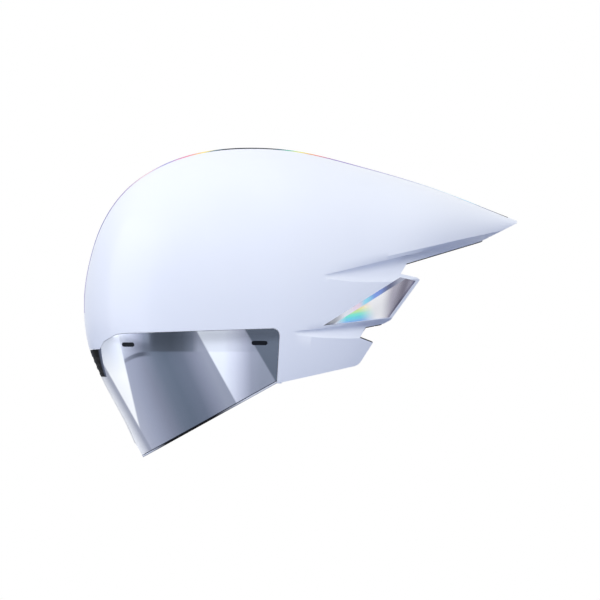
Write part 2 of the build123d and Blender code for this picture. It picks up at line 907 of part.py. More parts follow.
with BuildPart() as cradle_pad:
    pad_outer = yoke_radius - yoke_wall - skin_gap
    add(yoke_band(pad_outer, pad_outer - yoke_pad_wall, yoke_pad_half_angle, yoke_pad_half_height))
cradle_pad.part.label = "cradle_pad"
export_step(cradle_pad.part, "parts/cradle_pad.step")

with BuildPart() as dial_housing:
    with BuildSketch(Plane.YZ.offset(stem_face)):
        Circle(housing_radius)
    extrude(amount=housing_depth)
    with BuildSketch(Plane.YZ.offset(stem_face)):
        Circle(housing_radius - housing_wall)
    extrude(amount=housing_depth - housing_wall, mode=Mode.SUBTRACT)
    with BuildSketch(Plane.YZ.offset(stem_face)):
        Circle(axle_radius + axle_gap)
    extrude(amount=housing_depth, mode=Mode.SUBTRACT)
dial_housing.part.label = "dial_housing"
export_step(dial_housing.part, "parts/dial_housing.step")

# Pinion with its axle, the dial on it and the screw that holds the dial
belt_plane = stem_face - running_gap - belt_wall / 2
dial_face = stem_face + housing_depth + running_gap
axle_end = dial_face + dial_depth - dial_recess
tooth_top = pinion_pitch_radius + tooth_height
tooth_floor = pinion_pitch_radius - tooth_height
tooth_pitch = 2 * pi * pinion_pitch_radius / pinion_teeth
with BuildPart() as fit_pinion:
    with BuildSketch(Plane.YZ.offset(belt_plane - pinion_length / 2)):
        Circle(tooth_floor - tooth_gap)
        with PolarLocations(0, pinion_teeth, start_angle=90):
            Polygon(
                (axle_radius, -tooth_root / 2),
                (tooth_top, -tooth_tip / 2),
                (tooth_top, tooth_tip / 2),
                (axle_radius, tooth_root / 2),
                align=None,
            )
    extrude(amount=pinion_length)
    with BuildSketch(Plane.YZ.offset(fit_face + yoke_wall - axle_seat)):
        Circle(axle_radius)
    extrude(amount=axle_end - fit_face - yoke_wall + axle_seat)
    with BuildSketch(Plane.YZ.offset(axle_end)):
        Circle(screw_radius)
    extrude(amount=-screw_length, mode=Mode.SUBTRACT)
fit_pinion.part.label = "fit_pinion"
export_step(fit_pinion.part, "parts/fit_pinion.step")

with BuildPart() as fit_dial:
    with BuildSketch(Plane.YZ.offset(dial_face)):
        Circle(dial_radius)
    extrude(amount=dial_depth)
    chamfer(fit_dial.faces().sort_by(Axis.X)[-1].edges(), dial_chamfer)
    with BuildSketch(Plane.YZ.offset(dial_face)):
        with PolarLocations(dial_radius, dial_rib_count):
            Circle(dial_rib_radius)
    extrude(amount=dial_depth - dial_chamfer)
    with BuildSketch(Plane.YZ.offset(dial_face + dial_depth)):
        Circle(dial_recess_radius)
    extrude(amount=-dial_recess, mode=Mode.SUBTRACT)
    with BuildSketch(Plane.YZ.offset(dial_face)):
        Circle(axle_radius)
    extrude(amount=dial_depth, mode=Mode.SUBTRACT)
fit_dial.part.label = "fit_dial"
export_step(fit_dial.part, "parts/fit_dial.step")

with BuildPart() as dial_screw:
    with BuildSketch(Plane.YZ.offset(axle_end)):
        Circle(screw_head_radius)
    extrude(amount=screw_head_height)
    with BuildSketch(Plane.YZ.offset(axle_end)):
        Circle(screw_radius)
    extrude(amount=-screw_length)
    with BuildSketch(Plane.YZ.offset(axle_end + screw_head_height)):
        Rectangle(2 * screw_radius, screw_radius)
        Rectangle(screw_radius, 2 * screw_radius)
    extrude(amount=-screw_head_height / 2, mode=Mode.SUBTRACT)
dial_screw.part.label = "dial_screw"
export_step(dial_screw.part, "parts/dial_screw.step")

# Belts: the left one's rack runs above the pinion, the right one's below
for side, name in sides:
    level = -side
    with BuildPart() as belt:
        with BuildSketch(Plane.XY.offset(-belt_half_height)):
            with BuildLine():
                run = Line(
                    (belt_plane, side * belt_start),
                    (belt_plane, side * (belt_start + belt_straight)),
                )
                TangentArc(run @ 1, (belt_end[0], side * belt_end[1]), tangent=run % 1)
            trace(line_width=belt_wall)
        extrude(amount=2 * belt_half_height)
        with BuildSketch(Plane.YZ.offset(belt_plane - belt_wall / 2)):
            rack_low = tooth_top + tooth_gap
            rack_length = belt_start + belt_straight + rack_reach
            rack_middle = (belt_start + belt_straight - rack_reach) / 2
            with Locations((side * rack_middle, level * (rack_low + rack_height / 2))):
                Rectangle(rack_length, rack_height)
            first = -int(belt_tighten / tooth_pitch) - 2
            last = int(belt_loosen / tooth_pitch) + 1
            for index in range(first, last):
                middle = -side * (index + 1 / 2) * tooth_pitch
                Polygon(
                    (middle - tooth_root / 2, level * (rack_low + tooth_height)),
                    (middle - tooth_root / 2, level * rack_low),
                    (middle - tooth_tip / 2, level * tooth_floor),
                    (middle + tooth_tip / 2, level * tooth_floor),
                    (middle + tooth_root / 2, level * rack_low),
                    (middle + tooth_root / 2, level * (rack_low + tooth_height)),
                    align=None,
                )
        extrude(amount=belt_wall)
    belt.part.label = f"belt_{name}"
    export_step(belt.part, f"parts/belt_{name}.step")


# Straps
def strap_run(start, end, gap=0):
    """Flat run of webbing between two places, grown by a gap."""
    along = Vector(*end) - Vector(*start)
    facing = along.cross(Vector(0, 1, 0)).cross(along)
    with BuildPart() as run:
        with BuildSketch(Plane(origin=start, x_dir=along, z_dir=facing)):
            Rectangle(along.length, strap_width + 2 * gap, align=(Align.MIN, Align.CENTER))
        extrude(amount=strap_wall / 2 + gap, both=True)
    return run.part


def on_side(side, place):
    """The same place on the left or the right."""
    return place[0], side * place[1], place[2]


strap_inset = strap_wall / 2 + strap_gap
front_leg_start = (front_anchor[0], front_anchor[1] - strap_inset, front_anchor[2])
rear_leg_start = (rear_anchor[0], rear_anchor[1] - strap_inset, rear_anchor[2])
strap_ends = (
    (front_leg_start, front_leg_end),
    (rear_leg_start, rear_leg_end),
    (chin_start, chin_end),
)
pin_x = divider_place[0] - lever_place
pin_y = divider_place[1] - divider_wall / 2 - running_gap - lever_barrel_radius
lug_low = lever_height / 2 + running_gap

with BuildPart() as lever_pins:
    for side, _ in sides:
        with BuildSketch(Plane.XY.offset(divider_place[2])):
            with Locations((pin_x, side * pin_y)):
                Circle(lever_pin_radius)
        extrude(amount=lug_low + lug_height, both=True)
lever_pins.part.label = "lever_pins"
export_step(lever_pins.part, "parts/lever_pins.step")

for side, name in sides:
    with BuildPart() as strap:
        for start, end in strap_ends:
            add(strap_run(on_side(side, start), on_side(side, end)))
    strap.part.label = f"strap_{name}"
    export_step(strap.part, f"parts/strap_{name}.step")

    with BuildPart() as divider:
        with BuildSketch(Plane(origin=on_side(side, divider_place), x_dir=(1, 0, 0), z_dir=(0, 1, 0))):
            RectangleRounded(divider_length, divider_height, divider_round)
        extrude(amount=divider_wall / 2, both=True)
        for low in (lug_low, -lug_low - lug_height):
            with BuildSketch(Plane.XY.offset(divider_place[2] + low)):
                lug_radius = lever_pin_radius + lug_wall
                with Locations((pin_x, side * pin_y)):
                    Circle(lug_radius)
                with Locations((pin_x, side * (pin_y + divider_place[1]) / 2)):
                    Rectangle(2 * lug_radius, divider_place[1] - pin_y)
            extrude(amount=lug_height)
        add(lever_pins.part, mode=Mode.SUBTRACT)
        for start, end in strap_ends:
            add(strap_run(on_side(side, start), on_side(side, end), strap_gap), mode=Mode.SUBTRACT)
    divider.part.label = f"divider_{name}"
    export_step(divider.part, f"parts/divider_{name}.step")

    with BuildPart() as lever:
        with BuildSketch(Plane.XY.offset(divider_place[2] - lever_height / 2)):
            with Locations((pin_x, side * pin_y)):
                Circle(lever_barrel_radius)
                Rectangle(lever_length, lever_wall, align=(Align.MIN, Align.CENTER))
                Circle(lever_pin_radius + axle_gap, mode=Mode.SUBTRACT)
        extrude(amount=lever_height)
    lever.part.label = f"lever_{name}"
    export_step(lever.part, f"parts/lever_{name}.step")

# Buckle: the socket hangs on the left strap, the plug on the right one
mouth_x = buckle_place[0] + buckle_length / 2


def buckle_plane(side, x):
    """Upright plane across the buckle on one side."""
    return Plane(origin=(x, side * buckle_place[1], buckle_place[2]), x_dir=(0, 1, 0), z_dir=(1, 0, 0))


with BuildPart() as buckle_socket:
    with BuildSketch(Plane(origin=on_side(-1, buckle_place), x_dir=(1, 0, 0), z_dir=(0, 1, 0))):
        RectangleRounded(buckle_length, buckle_height, buckle_round)
    extrude(amount=buckle_wall / 2, both=True)
    with BuildSketch(buckle_plane(-1, mouth_x)):
        Rectangle(buckle_mouth_wall, buckle_mouth_height)
    extrude(amount=-prong_length, mode=Mode.SUBTRACT)
    add(strap_run(on_side(-1, chin_start), on_side(-1, chin_end), strap_gap), mode=Mode.SUBTRACT)
buckle_socket.part.label = "buckle_socket"
export_step(buckle_socket.part, "parts/buckle_socket.step")

with BuildPart() as buckle_plug:
    base_length = buckle_length - prong_length
    base = (buckle_place[0] - prong_length / 2, buckle_place[1], buckle_place[2])
    with BuildSketch(Plane(origin=on_side(1, base), x_dir=(1, 0, 0), z_dir=(0, 1, 0))):
        RectangleRounded(base_length, buckle_height, buckle_round)
    extrude(amount=buckle_wall / 2, both=True)
    with BuildSketch(buckle_plane(1, base[0] + base_length / 2)):
        with GridLocations(0, buckle_mouth_height - prong_height, 1, 2):
            Rectangle(prong_wall, prong_height)
    extrude(amount=prong_length)
    add(strap_run(on_side(1, chin_start), on_side(1, chin_end), strap_gap), mode=Mode.SUBTRACT)
buckle_plug.part.label = "buckle_plug"
export_step(buckle_plug.part, "parts/buckle_plug.step")
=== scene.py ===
import math
import bmesh
import bpy
import numpy as np
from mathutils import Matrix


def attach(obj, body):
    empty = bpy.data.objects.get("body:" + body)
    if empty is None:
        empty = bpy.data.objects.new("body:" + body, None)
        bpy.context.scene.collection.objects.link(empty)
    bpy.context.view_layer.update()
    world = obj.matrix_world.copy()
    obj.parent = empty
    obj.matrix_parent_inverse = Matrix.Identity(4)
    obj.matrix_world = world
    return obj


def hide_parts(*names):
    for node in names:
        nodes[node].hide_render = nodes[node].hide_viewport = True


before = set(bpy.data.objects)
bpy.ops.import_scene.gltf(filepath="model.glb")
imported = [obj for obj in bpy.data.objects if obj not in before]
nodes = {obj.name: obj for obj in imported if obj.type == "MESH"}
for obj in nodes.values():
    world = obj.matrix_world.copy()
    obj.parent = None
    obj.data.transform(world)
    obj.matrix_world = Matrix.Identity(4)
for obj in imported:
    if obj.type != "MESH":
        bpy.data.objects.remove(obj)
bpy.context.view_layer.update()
mm = 0.001


# New object in the scene for a mesh, a lamp or a camera
def placed(name, data):
    made = bpy.data.objects.new(name, data)
    bpy.context.collection.objects.link(made)
    return made


# Camera: a long lens square to the left flank, centred as the photograph is
cameraSet = {
    "centre": (57.2 * mm, 26.4 * mm),
    "distance": 8.8,
    "lens": 600,
    "clipEnd": 40,
}


# Level camera that looks along y
def addCamera():
    data = bpy.data.cameras.new("camera")
    data.lens = cameraSet["lens"]
    data.clip_end = cameraSet["clipEnd"]
    camera = placed("camera", data)
    camera.location = (cameraSet["centre"][0], -cameraSet["distance"], cameraSet["centre"][1])
    camera.rotation_euler = (math.radians(90), 0, 0)
    bpy.context.scene.camera = camera


addCamera()
print("camera placed")

# Form of the helmet: the driving sizes in millimetres, and shares of them
form = {
    "noseReach": 133.0,
    "length": 381.0,
    "noseHeight": 21.0,
    "crownRise": 139.5,
    "skirtDrop": 171.0,
    "halfWidth": 104.0,
    "tipCut": 0.35,
    "insetFade": 0.30,
    "fullness": 0.60,
    "least": 0.05,            # a section never shrinks below this
    "edgeGap": 0.01,          # a height is looked up at least this far inside a section
    "halvings": 30,           # steps of the search for the turn at a height
    # crown, underside, half width and widest height, at equal steps of the root of the length
    "shares": np.array([
        (0.000, 0.000, 0.000, 0.000),
        (0.245, 0.196, 0.240, 0.000),
        (0.506, 0.368, 0.467, 0.000),
        (0.713, 0.578, 0.673, 0.000),
        (0.860, 0.880, 0.827, 0.000),
        (0.957, 1.000, 0.928, 0.000),
        (0.998, 1.000, 0.981, 0.000),
        (0.978, 0.950, 1.000, 0.000),
        (0.880, 0.710, 0.890, 0.060),
        (0.741, 0.060, 0.600, 0.360),
        (0.540, -0.402, 0.070, 0.514),
    ]),
}
tailReach = form["length"] - form["noseReach"]
crownHeight = form["noseHeight"] + form["crownRise"]


# Smooth value between rows: a cubic with the slopes of the neighbouring rows
def bodyShare(column, along):
    table = form["shares"][:, column]
    last = len(table) - 1
    row = np.clip((along * last).astype(int), 0, last - 1)
    part = along * last - row
    slope = np.gradient(table)
    start, end = table[row], table[row + 1]
    rise = (start * (1 + 2 * part) + slope[row] * part) * (1 - part) ** 2
    return rise + (end * (3 - 2 * part) - slope[row + 1] * (1 - part)) * part ** 2


# x, half width, crown, widest height and underside at a root of the length, drawn in by an inset
def bodySizes(along, inset):
    fade = inset * np.minimum(1, along / form["insetFade"])
    x = inset - form["noseReach"] + (form["length"] - 2 * inset) * along ** 2
    middle = form["noseHeight"] + form["crownRise"] * bodyShare(3, along)
    top = form["noseHeight"] + form["crownRise"] * bodyShare(0, along) - fade
    bottom = form["noseHeight"] - form["skirtDrop"] * bodyShare(1, along) + fade
    top, bottom = np.maximum(top, middle + form["least"]), np.minimum(bottom, middle - form["least"])
    wide = np.maximum(form["halfWidth"] * bodyShare(2, along) - fade, form["least"])
    return x, wide, top, middle, bottom


# Cubic quarter from the centre line at end (part 0) out to the widest line (part 1)
def quarter(wide, middle, end, part):
    rest = 1 - part
    bulge = form["fullness"]
    across = wide * (3 * bulge * rest ** 2 * part + 3 * rest * part ** 2 + part ** 3)
    near = rest ** 3 + 3 * rest ** 2 * part + 3 * bulge * rest * part ** 2
    return across, middle + (end - middle) * near


# Two grooves sweep back along each flank: where they run, how steeply they rise, how tall and deep they get
grooves = {
    "tail": {"start": 79.0, "level": 48.4, "slope": 0.248, "full": 1.0, "fade": (205.0, 238.0)},
    "fin": {"start": 53.0, "level": -1.0, "slope": 0.124, "full": 0.62, "fade": (150.0, 175.0)},
}
grooveSet = {
    "height": 24.0,
    "depth": 13.0,
    "mouth": 3.0,
    "growth": 100.0,
    "drop": (0.5, 2.0),       # three times the shares of the height at which the cubic's handles lie
    "samples": 60,
}


# 0 below low, 1 above high, and 3t^2 - 2t^3 between
def smooth(value, low, high):
    t = np.clip((value - low) / (high - low), 0, 1)
    return t * t * (3 - 2 * t)


# Top line, foot line and depth of a groove at x: height and depth grow as t(2 - t) behind its start
def grooveBand(groove, x):
    grown = np.clip((x - groove["start"]) / grooveSet["growth"], 0, 1)
    eased = grown * (2 - grown)
    height = grooveSet["mouth"] + (grooveSet["height"] * groove["full"] - grooveSet["mouth"]) * eased
    depth = grooveSet["depth"] * groove["full"] * eased * (1 - smooth(x, *groove["fade"]))
    top = groove["level"] + groove["slope"] * (x - groove["start"])
    return top, top - height, depth


# Point of a half section: turn runs 0 at the crown, 1 at the widest line, 2 at the underside
def ringPoint(sizes, turn):
    _, wide, top, middle, bottom = sizes
    upper = quarter(wide, middle, top, np.clip(turn, 0, 1))
    lower = quarter(wide, middle, bottom, np.clip(2 - turn, 0, 1))
    return np.where(turn < 1, upper[0], lower[0]), np.where(turn < 1, upper[1], lower[1])


# The turn whose point lies at height z, by halving
def turnAt(sizes, z):
    low, high = np.zeros_like(z), np.full_like(z, 2.0)
    for _ in range(form["halvings"]):
        turn = (low + high) / 2
        above = ringPoint(sizes, turn)[1] > z
        low, high = np.where(above, turn, low), np.where(above, high, turn)
    return (low + high) / 2


# Root of x's share of the length, for the form drawn in by an inset
def alongAt(x, inset):
    return np.sqrt(np.clip((x + form["noseReach"] - inset) / (form["length"] - 2 * inset), 0, 1))


# Half width of the plain form at a place seen from the side
def skinHalf(x, z, inset=0.0):
    sizes = bodySizes(alongAt(x, inset), inset)
    z = np.clip(z, sizes[4] + form["edgeGap"], sizes[2] - form["edgeGap"])
    return ringPoint(sizes, turnAt(sizes, z))[0]


# Half width with the groove let in: a cubic from the top line, over the floor, to the foot line
def grooveValley(groove, x, z, y, inset):
    top, low, depth = grooveBand(groove, x)
    top, low = top + inset, low - inset
    upper, lower = skinHalf(x, top, inset), skinHalf(x, low, inset)
    floor = np.minimum(upper, lower) - depth
    t = np.linspace(0, 1, grooveSet["samples"])
    high, deep = grooveSet["drop"]
    drop = high * t * (1 - t) ** 2 + deep * t * t * (1 - t) + t ** 3
    part = np.interp(np.clip((top - z) / (top - low), 0, 1), drop, t)
    rest = 1 - part
    valley = (upper * rest ** 3 + 3 * rest ** 2 * part * (floor - depth / 3)
              + 3 * rest * part ** 2 * floor + lower * part ** 3)
    inside = (z < top) & (z > low) & (depth > 0)
    return np.where(inside, np.minimum(y, valley), y)


# Faces between rings of points, given the points' numbers ring by ring
def tubeFaces(index):
    ahead = np.roll(index, -1, axis=1)
    return np.stack([index[:-1], index[1:], ahead[1:], ahead[:-1]], axis=-1).reshape(-1, 4).tolist()


# Closed mesh from rings of points, each end closed by a fan to its middle. Sizes in millimetres
def closeGrid(name, x, y, z):
    rings, count = x.shape
    points = np.stack([x, y, z], axis=-1).reshape(-1, 3)
    ends = [points[:count].mean(axis=0), points[-count:].mean(axis=0)]
    points = np.vstack([points, ends]) * mm
    index = np.arange(rings * count).reshape(rings, count)
    ahead = np.roll(index, -1, axis=1)
    first = np.stack([np.full(count, rings * count), index[0], ahead[0]], axis=-1)
    last = np.stack([np.full(count, rings * count + 1), ahead[-1], index[-1]], axis=-1)
    return solid(name, points, tubeFaces(index) + first.tolist() + last.tolist())


# Mesh object of closed faces, turned over where their signed volume comes out negative
def solid(name, points, faces):
    mesh = bpy.data.meshes.new(name)
    mesh.from_pydata(points.tolist(), [], faces)
    mesh.update()
    corners = np.array([face[:3] for face in faces])
    a, b, c = points[corners[:, 0]], points[corners[:, 1]], points[corners[:, 2]]
    if np.einsum("ij,ij->", a, np.cross(b, c)) < 0:
        mesh.flip_normals()
    return placed(name, mesh)


formGrid = {
    "rowShares": (0, 0.34, 0.50, 0.62, 0.76, 1),   # rows up to each groove line
    "plainTurns": (0, 0.62, 0.74, 1.02, 1.14, 2),  # the same lines near the nose, where no groove runs
    "settle": (-30.0, 40.0),                       # from the plain turns to the groove lines over these x
    "leastStep": 0.02,                             # two lines never come closer than this turn
}
gridSizes = {             # sections along the length, and rows round half of each
    "shell": (260, 96),
    "lens": (240, 110),
    "edge": (200, 90),
    "magnets": (160, 70),
    "ledge": (140, 60),
    "gauze": (120, 60),
    "core": (90, 40),
}


# The whole outer form as a closed solid. Rows follow the groove lines, so that their edges stay crisp
def helmetForm(name, inset, size, grooved=False):
    sections, rows = gridSizes[size]
    start = math.sqrt(form["tipCut"] / form["length"])
    along = np.linspace(start, 1, sections)[:, None]
    sizes = bodySizes(along, inset)
    x = sizes[0]
    lines = [np.zeros_like(x)]
    for groove in grooves.values():
        top, low, _ = grooveBand(groove, x)
        for level in (top + inset, low - inset):
            lines.append(turnAt(sizes, np.clip(level, sizes[4], sizes[2])))
    lines.append(np.full_like(x, 2.0))
    settled = smooth(x, *formGrid["settle"])
    lines = [plain + (line - plain) * settled for line, plain in zip(lines, formGrid["plainTurns"])]
    for index in range(len(lines) - 2, 0, -1):
        lines[index] = np.minimum(lines[index], lines[index + 1] - formGrid["leastStep"])
    share = np.linspace(0, 1, rows + 1)
    marks = np.array(formGrid["rowShares"])
    segment = np.clip(np.searchsorted(marks, share, side="right") - 1, 0, len(marks) - 2)
    part = (share - marks[segment]) / (marks[segment + 1] - marks[segment])
    table = np.concatenate(lines, axis=1)
    turn = table[:, segment] * (1 - part) + table[:, segment + 1] * part
    y, z = ringPoint(sizes, turn)
    if grooved:
        for groove in grooves.values():
            y = grooveValley(groove, x + 0 * z, z, y, inset)
    y = np.concatenate([y, -y[:, -2:0:-1]], axis=1)
    z = np.concatenate([z, z[:, -2:0:-1]], axis=1)
    return closeGrid(name, x + 0 * y, y, z)


# Cuts, joins or intersects a closed piece with a closed tool. The result takes the place of both
def combine(piece, tool, operation):
    modifier = piece.modifiers.new("combine", "BOOLEAN")
    modifier.operation = operation
    modifier.object = tool
    modifier.solver = "EXACT"
    name = piece.name
    piece.name = name + "Before"
    graph = bpy.context.evaluated_depsgraph_get()
    mesh = bpy.data.meshes.new_from_object(piece.evaluated_get(graph))
    mesh.name = name
    result = placed(name, mesh)
    for used in (piece, tool):
        bpy.data.objects.remove(used)
    return result


# What is left of a piece outside each of the tools in turn
def cut(piece, *tools):
    for tool in tools:
        piece = combine(piece, tool, "DIFFERENCE")
    return piece


# What is left of a piece inside a tool
def within(piece, tool):
    return combine(piece, tool, "INTERSECT")


# Points in millimetres from shares of the tail's reach and the crown's height
def sidePoints(shares):
    return [(x * tailReach, z * crownHeight) for x, z in shares]


arcSteps = 9


# Outline with arcs at the corners that have a radius: radii maps a corner's number to it
def rounded(points, radii):
    result = []
    for number, point in enumerate(points):
        radius = radii.get(number, 0)
        if not radius:
            result.append(point)
            continue
        corner = np.array(point)
        before = np.array(points[number - 1]) - corner
        after = np.array(points[(number + 1) % len(points)]) - corner
        before, after = before / np.hypot(*before), after / np.hypot(*after)
        half = math.acos(np.clip(before @ after, -1, 1)) / 2
        reach = radius / math.tan(half)
        centre = corner + (before + after) / np.hypot(*(before + after)) * radius / math.sin(half)
        a, b = corner + before * reach - centre, corner + after * reach - centre
        sweep = math.pi - 2 * half
        for t in np.linspace(0, 1, arcSteps):
            arm = (a * math.sin((1 - t) * sweep) + b * math.sin(t * sweep)) / math.sin(sweep)
            result.append(tuple(centre + arm))
    return result


# Faces of a prism between two layers of points: its sides and its two ends
def prismFaces(count):
    index = np.arange(count)
    ahead = np.roll(index, -1)
    sides = np.stack([index, ahead, ahead + count, index + count], axis=-1).tolist()
    return sides + [index[::-1].tolist(), (index + count).tolist()]


# Faces of a slab between two grids of points: both grids and the rim that joins them
def slabFaces(rows, columns):
    index = np.arange(rows * columns).reshape(rows, columns)
    corners = [index[:-1, :-1], index[1:, :-1], index[1:, 1:], index[:-1, 1:]]
    quads = np.stack(corners, axis=-1).reshape(-1, 4)
    edge = np.concatenate([index[0, :], index[1:, -1], index[-1, -2::-1], index[-2:0:-1, 0]])
    ahead = np.roll(edge, -1)
    rim = np.stack([edge, ahead, ahead + rows * columns, edge + rows * columns], axis=-1)
    return quads.tolist() + (quads[:, ::-1] + rows * columns).tolist() + rim.tolist()


# Turns the faces of a closed piece outwards
def turnOutwards(piece):
    work = bmesh.new()
    work.from_mesh(piece.data)
    bmesh.ops.recalc_face_normals(work, faces=work.faces)
    work.to_mesh(piece.data)
    work.free()
    return piece


acrossSpan = (-140.0, 140.0)    # clear of the helmet on both flanks


# Closed prism with a flat outline: (x, z) points across for axis y, (y, z) for x, (x, y) for z
def prism(name, points, axis="y", span=acrossSpan):
    layers = [np.insert(np.array(points), "xyz".index(axis), level, axis=1) for level in span]
    return turnOutwards(solid(name, np.vstack(layers) * mm, prismFaces(len(points))))


# Slice of the form's wall between two insets, inside a side outline
def wall(name, outer, inner, outline, size, grooved=False):
    piece = within(helmetForm(name, outer, size, grooved), prism("outline", outline))
    return cut(piece, helmetForm("core", inner, "core", grooved))


# Smooth shading with sharp edges, and the piece's body and the nodes it stands for
def finish(piece, body, replaced=(), angle=30):
    mesh = piece.data
    mesh.shade_smooth()
    mesh.set_sharp_from_angle(angle=math.radians(angle))
    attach(piece, body)
    if replaced:
        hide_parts(*replaced)
    return piece


# Side outlines as shares of the tail's reach and the crown's height
outlines = {
    "brow": [(-0.700, -0.131), (-0.476, -0.103), (-0.462, -0.062), (-0.417, -0.022), (-0.390, -0.016),
             (0.161, 0.0125)],
    "earFront": [(0.150, -0.288)],
    "earRear": [(0.436, -0.190), (0.487, -0.063), (0.441, -0.036)],
    "fin": [(0.462, 0.012), (0.524, 0.030), (0.549, 0.055), (0.653, 0.274), (0.642, 0.287), (0.585, 0.307)],
    "tail": [(0.607, 0.358), (0.871, 0.480), (1.100, 0.658)],
    "ledge": [(-0.700, -0.210), (-0.419, -0.199), (-0.290, -0.123), (0.021, -0.131), (0.089, -0.131),
              (0.133, -0.288)],
    "lensFoot": [(0.149, -0.288), (-0.700, -1.019)],
    "window": [(0.3125, 0.026), (0.583, 0.288), (0.638, 0.269), (0.544, 0.070), (0.359, 0.034)],
    "stripeLow": [(-0.700, 0.093), (0.450, 0.100), (0.800, 0.560), (1.000, 0.595)],
}
side = {key: sidePoints(value) for key, value in outlines.items()}
fits = {
    "shellWall": 2.4,
    "lensWall": 2.0,
    "ledgeWall": 2.3,
    "seam": 0.4,
    "darkEdge": 0.8,
    "browLap": 4.0,
    "lip": 2.6,
    "cornerRound": 6.0,
    "earRound": 10.0,
    "headroom": 30.0,         # cutting prisms reach this far over the crown
}
roof = crownHeight + fits["headroom"]


# Points moved along x and z
def shift(points, dx=0.0, dz=0.0):
    return [(x + dx, z + dz) for x, z in points]


shellOutline = (
    [(side["brow"][0][0], roof)] + side["brow"] + side["earFront"] + side["earRear"][:1]
    + shift(side["earRear"][1:], 0, -fits["darkEdge"]) + shift(side["fin"][:2], 0, fits["darkEdge"])
    + side["fin"][2:] + shift(side["tail"], 0, fits["darkEdge"]) + [(side["tail"][-1][0], roof)]
)
shellOutline = rounded(shellOutline, {6: fits["cornerRound"], 8: fits["earRound"]})
print("outlines worked out")

shellSet = {
    "stripeHalf": 15.0,
    "stripeBrow": 0.75,       # share of the half width at the brow
    "stripeTail": 0.35,
    "stripeStart": -163.0,
    "stripeEnd": 240.0,
    "stripeSteps": 40,
    "stripeWall": 0.7,
    "inlayGap": 0.12,
    "windowBack": 4.9,
    "ledgeOpenHalf": 33.0,    # the flange is open behind the air intake
    "ledgeOpen": (-41.0, -23.0),
    "ledgeOpenSpan": (-160.0, -60.0),
}


# Plan outline of the crest stripe: a smooth curve through its widths at the brow, crown and tail
def stripeOutline(gap):
    start, end = shellSet["stripeStart"], shellSet["stripeEnd"] + gap
    x = np.linspace(start, end, shellSet["stripeSteps"])
    shares = np.polyfit([start, 0, end], [shellSet["stripeBrow"], 1, shellSet["stripeTail"]], 2)
    half = shellSet["stripeHalf"] * np.polyval(shares, x) + gap
    return list(zip(x, -half)) + list(zip(x[::-1], half[::-1]))


# The stripe's plan outline as a prism, above its line along the brow
def stripePrism(gap):
    low = shift(side["stripeLow"], 0, -gap)
    block = prism("stripePrism", stripeOutline(gap), "z", (0, roof))
    return within(block, prism("above", low + [(low[-1][0], roof), (low[0][0], roof)]))


# Side outline of the flange behind the lens: it laps the brow line and ends on the ledge line
def ledgeOutline():
    lap = fits["browLap"]
    corner = side["brow"][-1]
    upper = shift(side["brow"][:-1], 0, lap) + [(corner[0] + lap, corner[1] + lap)]
    return upper + [(side["earFront"][0][0] + lap, side["earFront"][0][1])] + side["ledge"][::-1]


# The form's outer wall inside the side outline, with the flange behind the lens and the sunk places
def makeShell():
    shell = wall("outerShell", 0, fits["shellWall"], shellOutline, "shell", True)
    ledge = wall("ledge", fits["ledgeWall"], fits["ledgeWall"] + fits["shellWall"], ledgeOutline(), "ledge")
    half = shellSet["ledgeOpenHalf"]
    low, high = shellSet["ledgeOpen"]
    corners = [(-half, low), (half, low), (half, high), (-half, high)]
    ledge = cut(ledge, prism("opening", corners, "x", shellSet["ledgeOpenSpan"]))
    shell = combine(shell, ledge, "UNION")
    gap = shellSet["inlayGap"]
    recess = cut(stripePrism(gap), helmetForm("recessFloor", shellSet["stripeWall"] + gap, "ledge"))
    room = cut(prism("window", side["window"]), helmetForm("windowFloor", shellSet["windowBack"], "core"))
    return finish(cut(shell, recess, room), "helmet", ["outer_shell"])


outerShell = makeShell()
print("shell made")


# A thin slice of the form's surface inside the stripe's outline
def makeStripe():
    stripe = within(helmetForm("crestStripe", 0, "shell"), stripePrism(0))
    stripe = cut(stripe, helmetForm("core", shellSet["stripeWall"], "ledge"))
    return finish(stripe, "helmet", ["crest_stripe"])


crestStripe = makeStripe()
print("crest stripe made")

insertSet = {
    "sink": 1.9,       # depth of the main face
    "rim": 0.25,       # depth of the bevel's outer edge
    "bevel": 3.6,      # width of the bevel along the front diagonal
    "thick": 2.4,
    "dipPlace": 0.25,  # the outline's dip lies at this share of the foot line
    "dipShare": 0.6,   # how much of it the panel takes
    "grid": (60, 50),
}


# Sunk panel in a side fin: a four-sided patch laid on the form, with a bevel along its front diagonal.
# Its foot line dips by 4u(1 - u)(1 - u) of the outline's dip
def makeInsert(name, flank, node):
    tip, top, back, heel, dip = [np.array(point) for point in side["window"]]
    u = np.linspace(0, 1, insertSet["grid"][0])[:, None]
    v = np.linspace(0, 1, insertSet["grid"][1])[None, :]
    reach = np.hypot(*(top - tip))
    bend = dip - (tip + (heel - tip) * insertSet["dipPlace"])
    foot = [tip[i] + (heel[i] - tip[i]) * u + bend[i] * 4 * u * (1 - u) * (1 - u) * insertSet["dipShare"]
            for i in range(2)]
    head = [top[i] + (back[i] - top[i]) * u for i in range(2)]
    x = foot[0] * (1 - v) + head[0] * v
    z = foot[1] * (1 - v) + head[1] * v
    normal = np.array([-(top - tip)[1], (top - tip)[0]]) / reach
    distance = -((x - tip[0]) * normal[0] + (z - tip[1]) * normal[1])
    slope = np.clip(distance / insertSet["bevel"], 0, 1)
    sink = insertSet["rim"] + (insertSet["sink"] - insertSet["rim"]) * slope
    skin = skinHalf(x, z)
    faces = []
    for depth in (sink, insertSet["sink"] + insertSet["thick"]):
        faces.append(np.stack([x, flank * (skin - depth), z], axis=-1).reshape(-1, 3))
    piece = turnOutwards(solid(name, np.vstack(faces) * mm, slabFaces(*x.shape)))
    return finish(piece, "helmet", [node], angle=20)


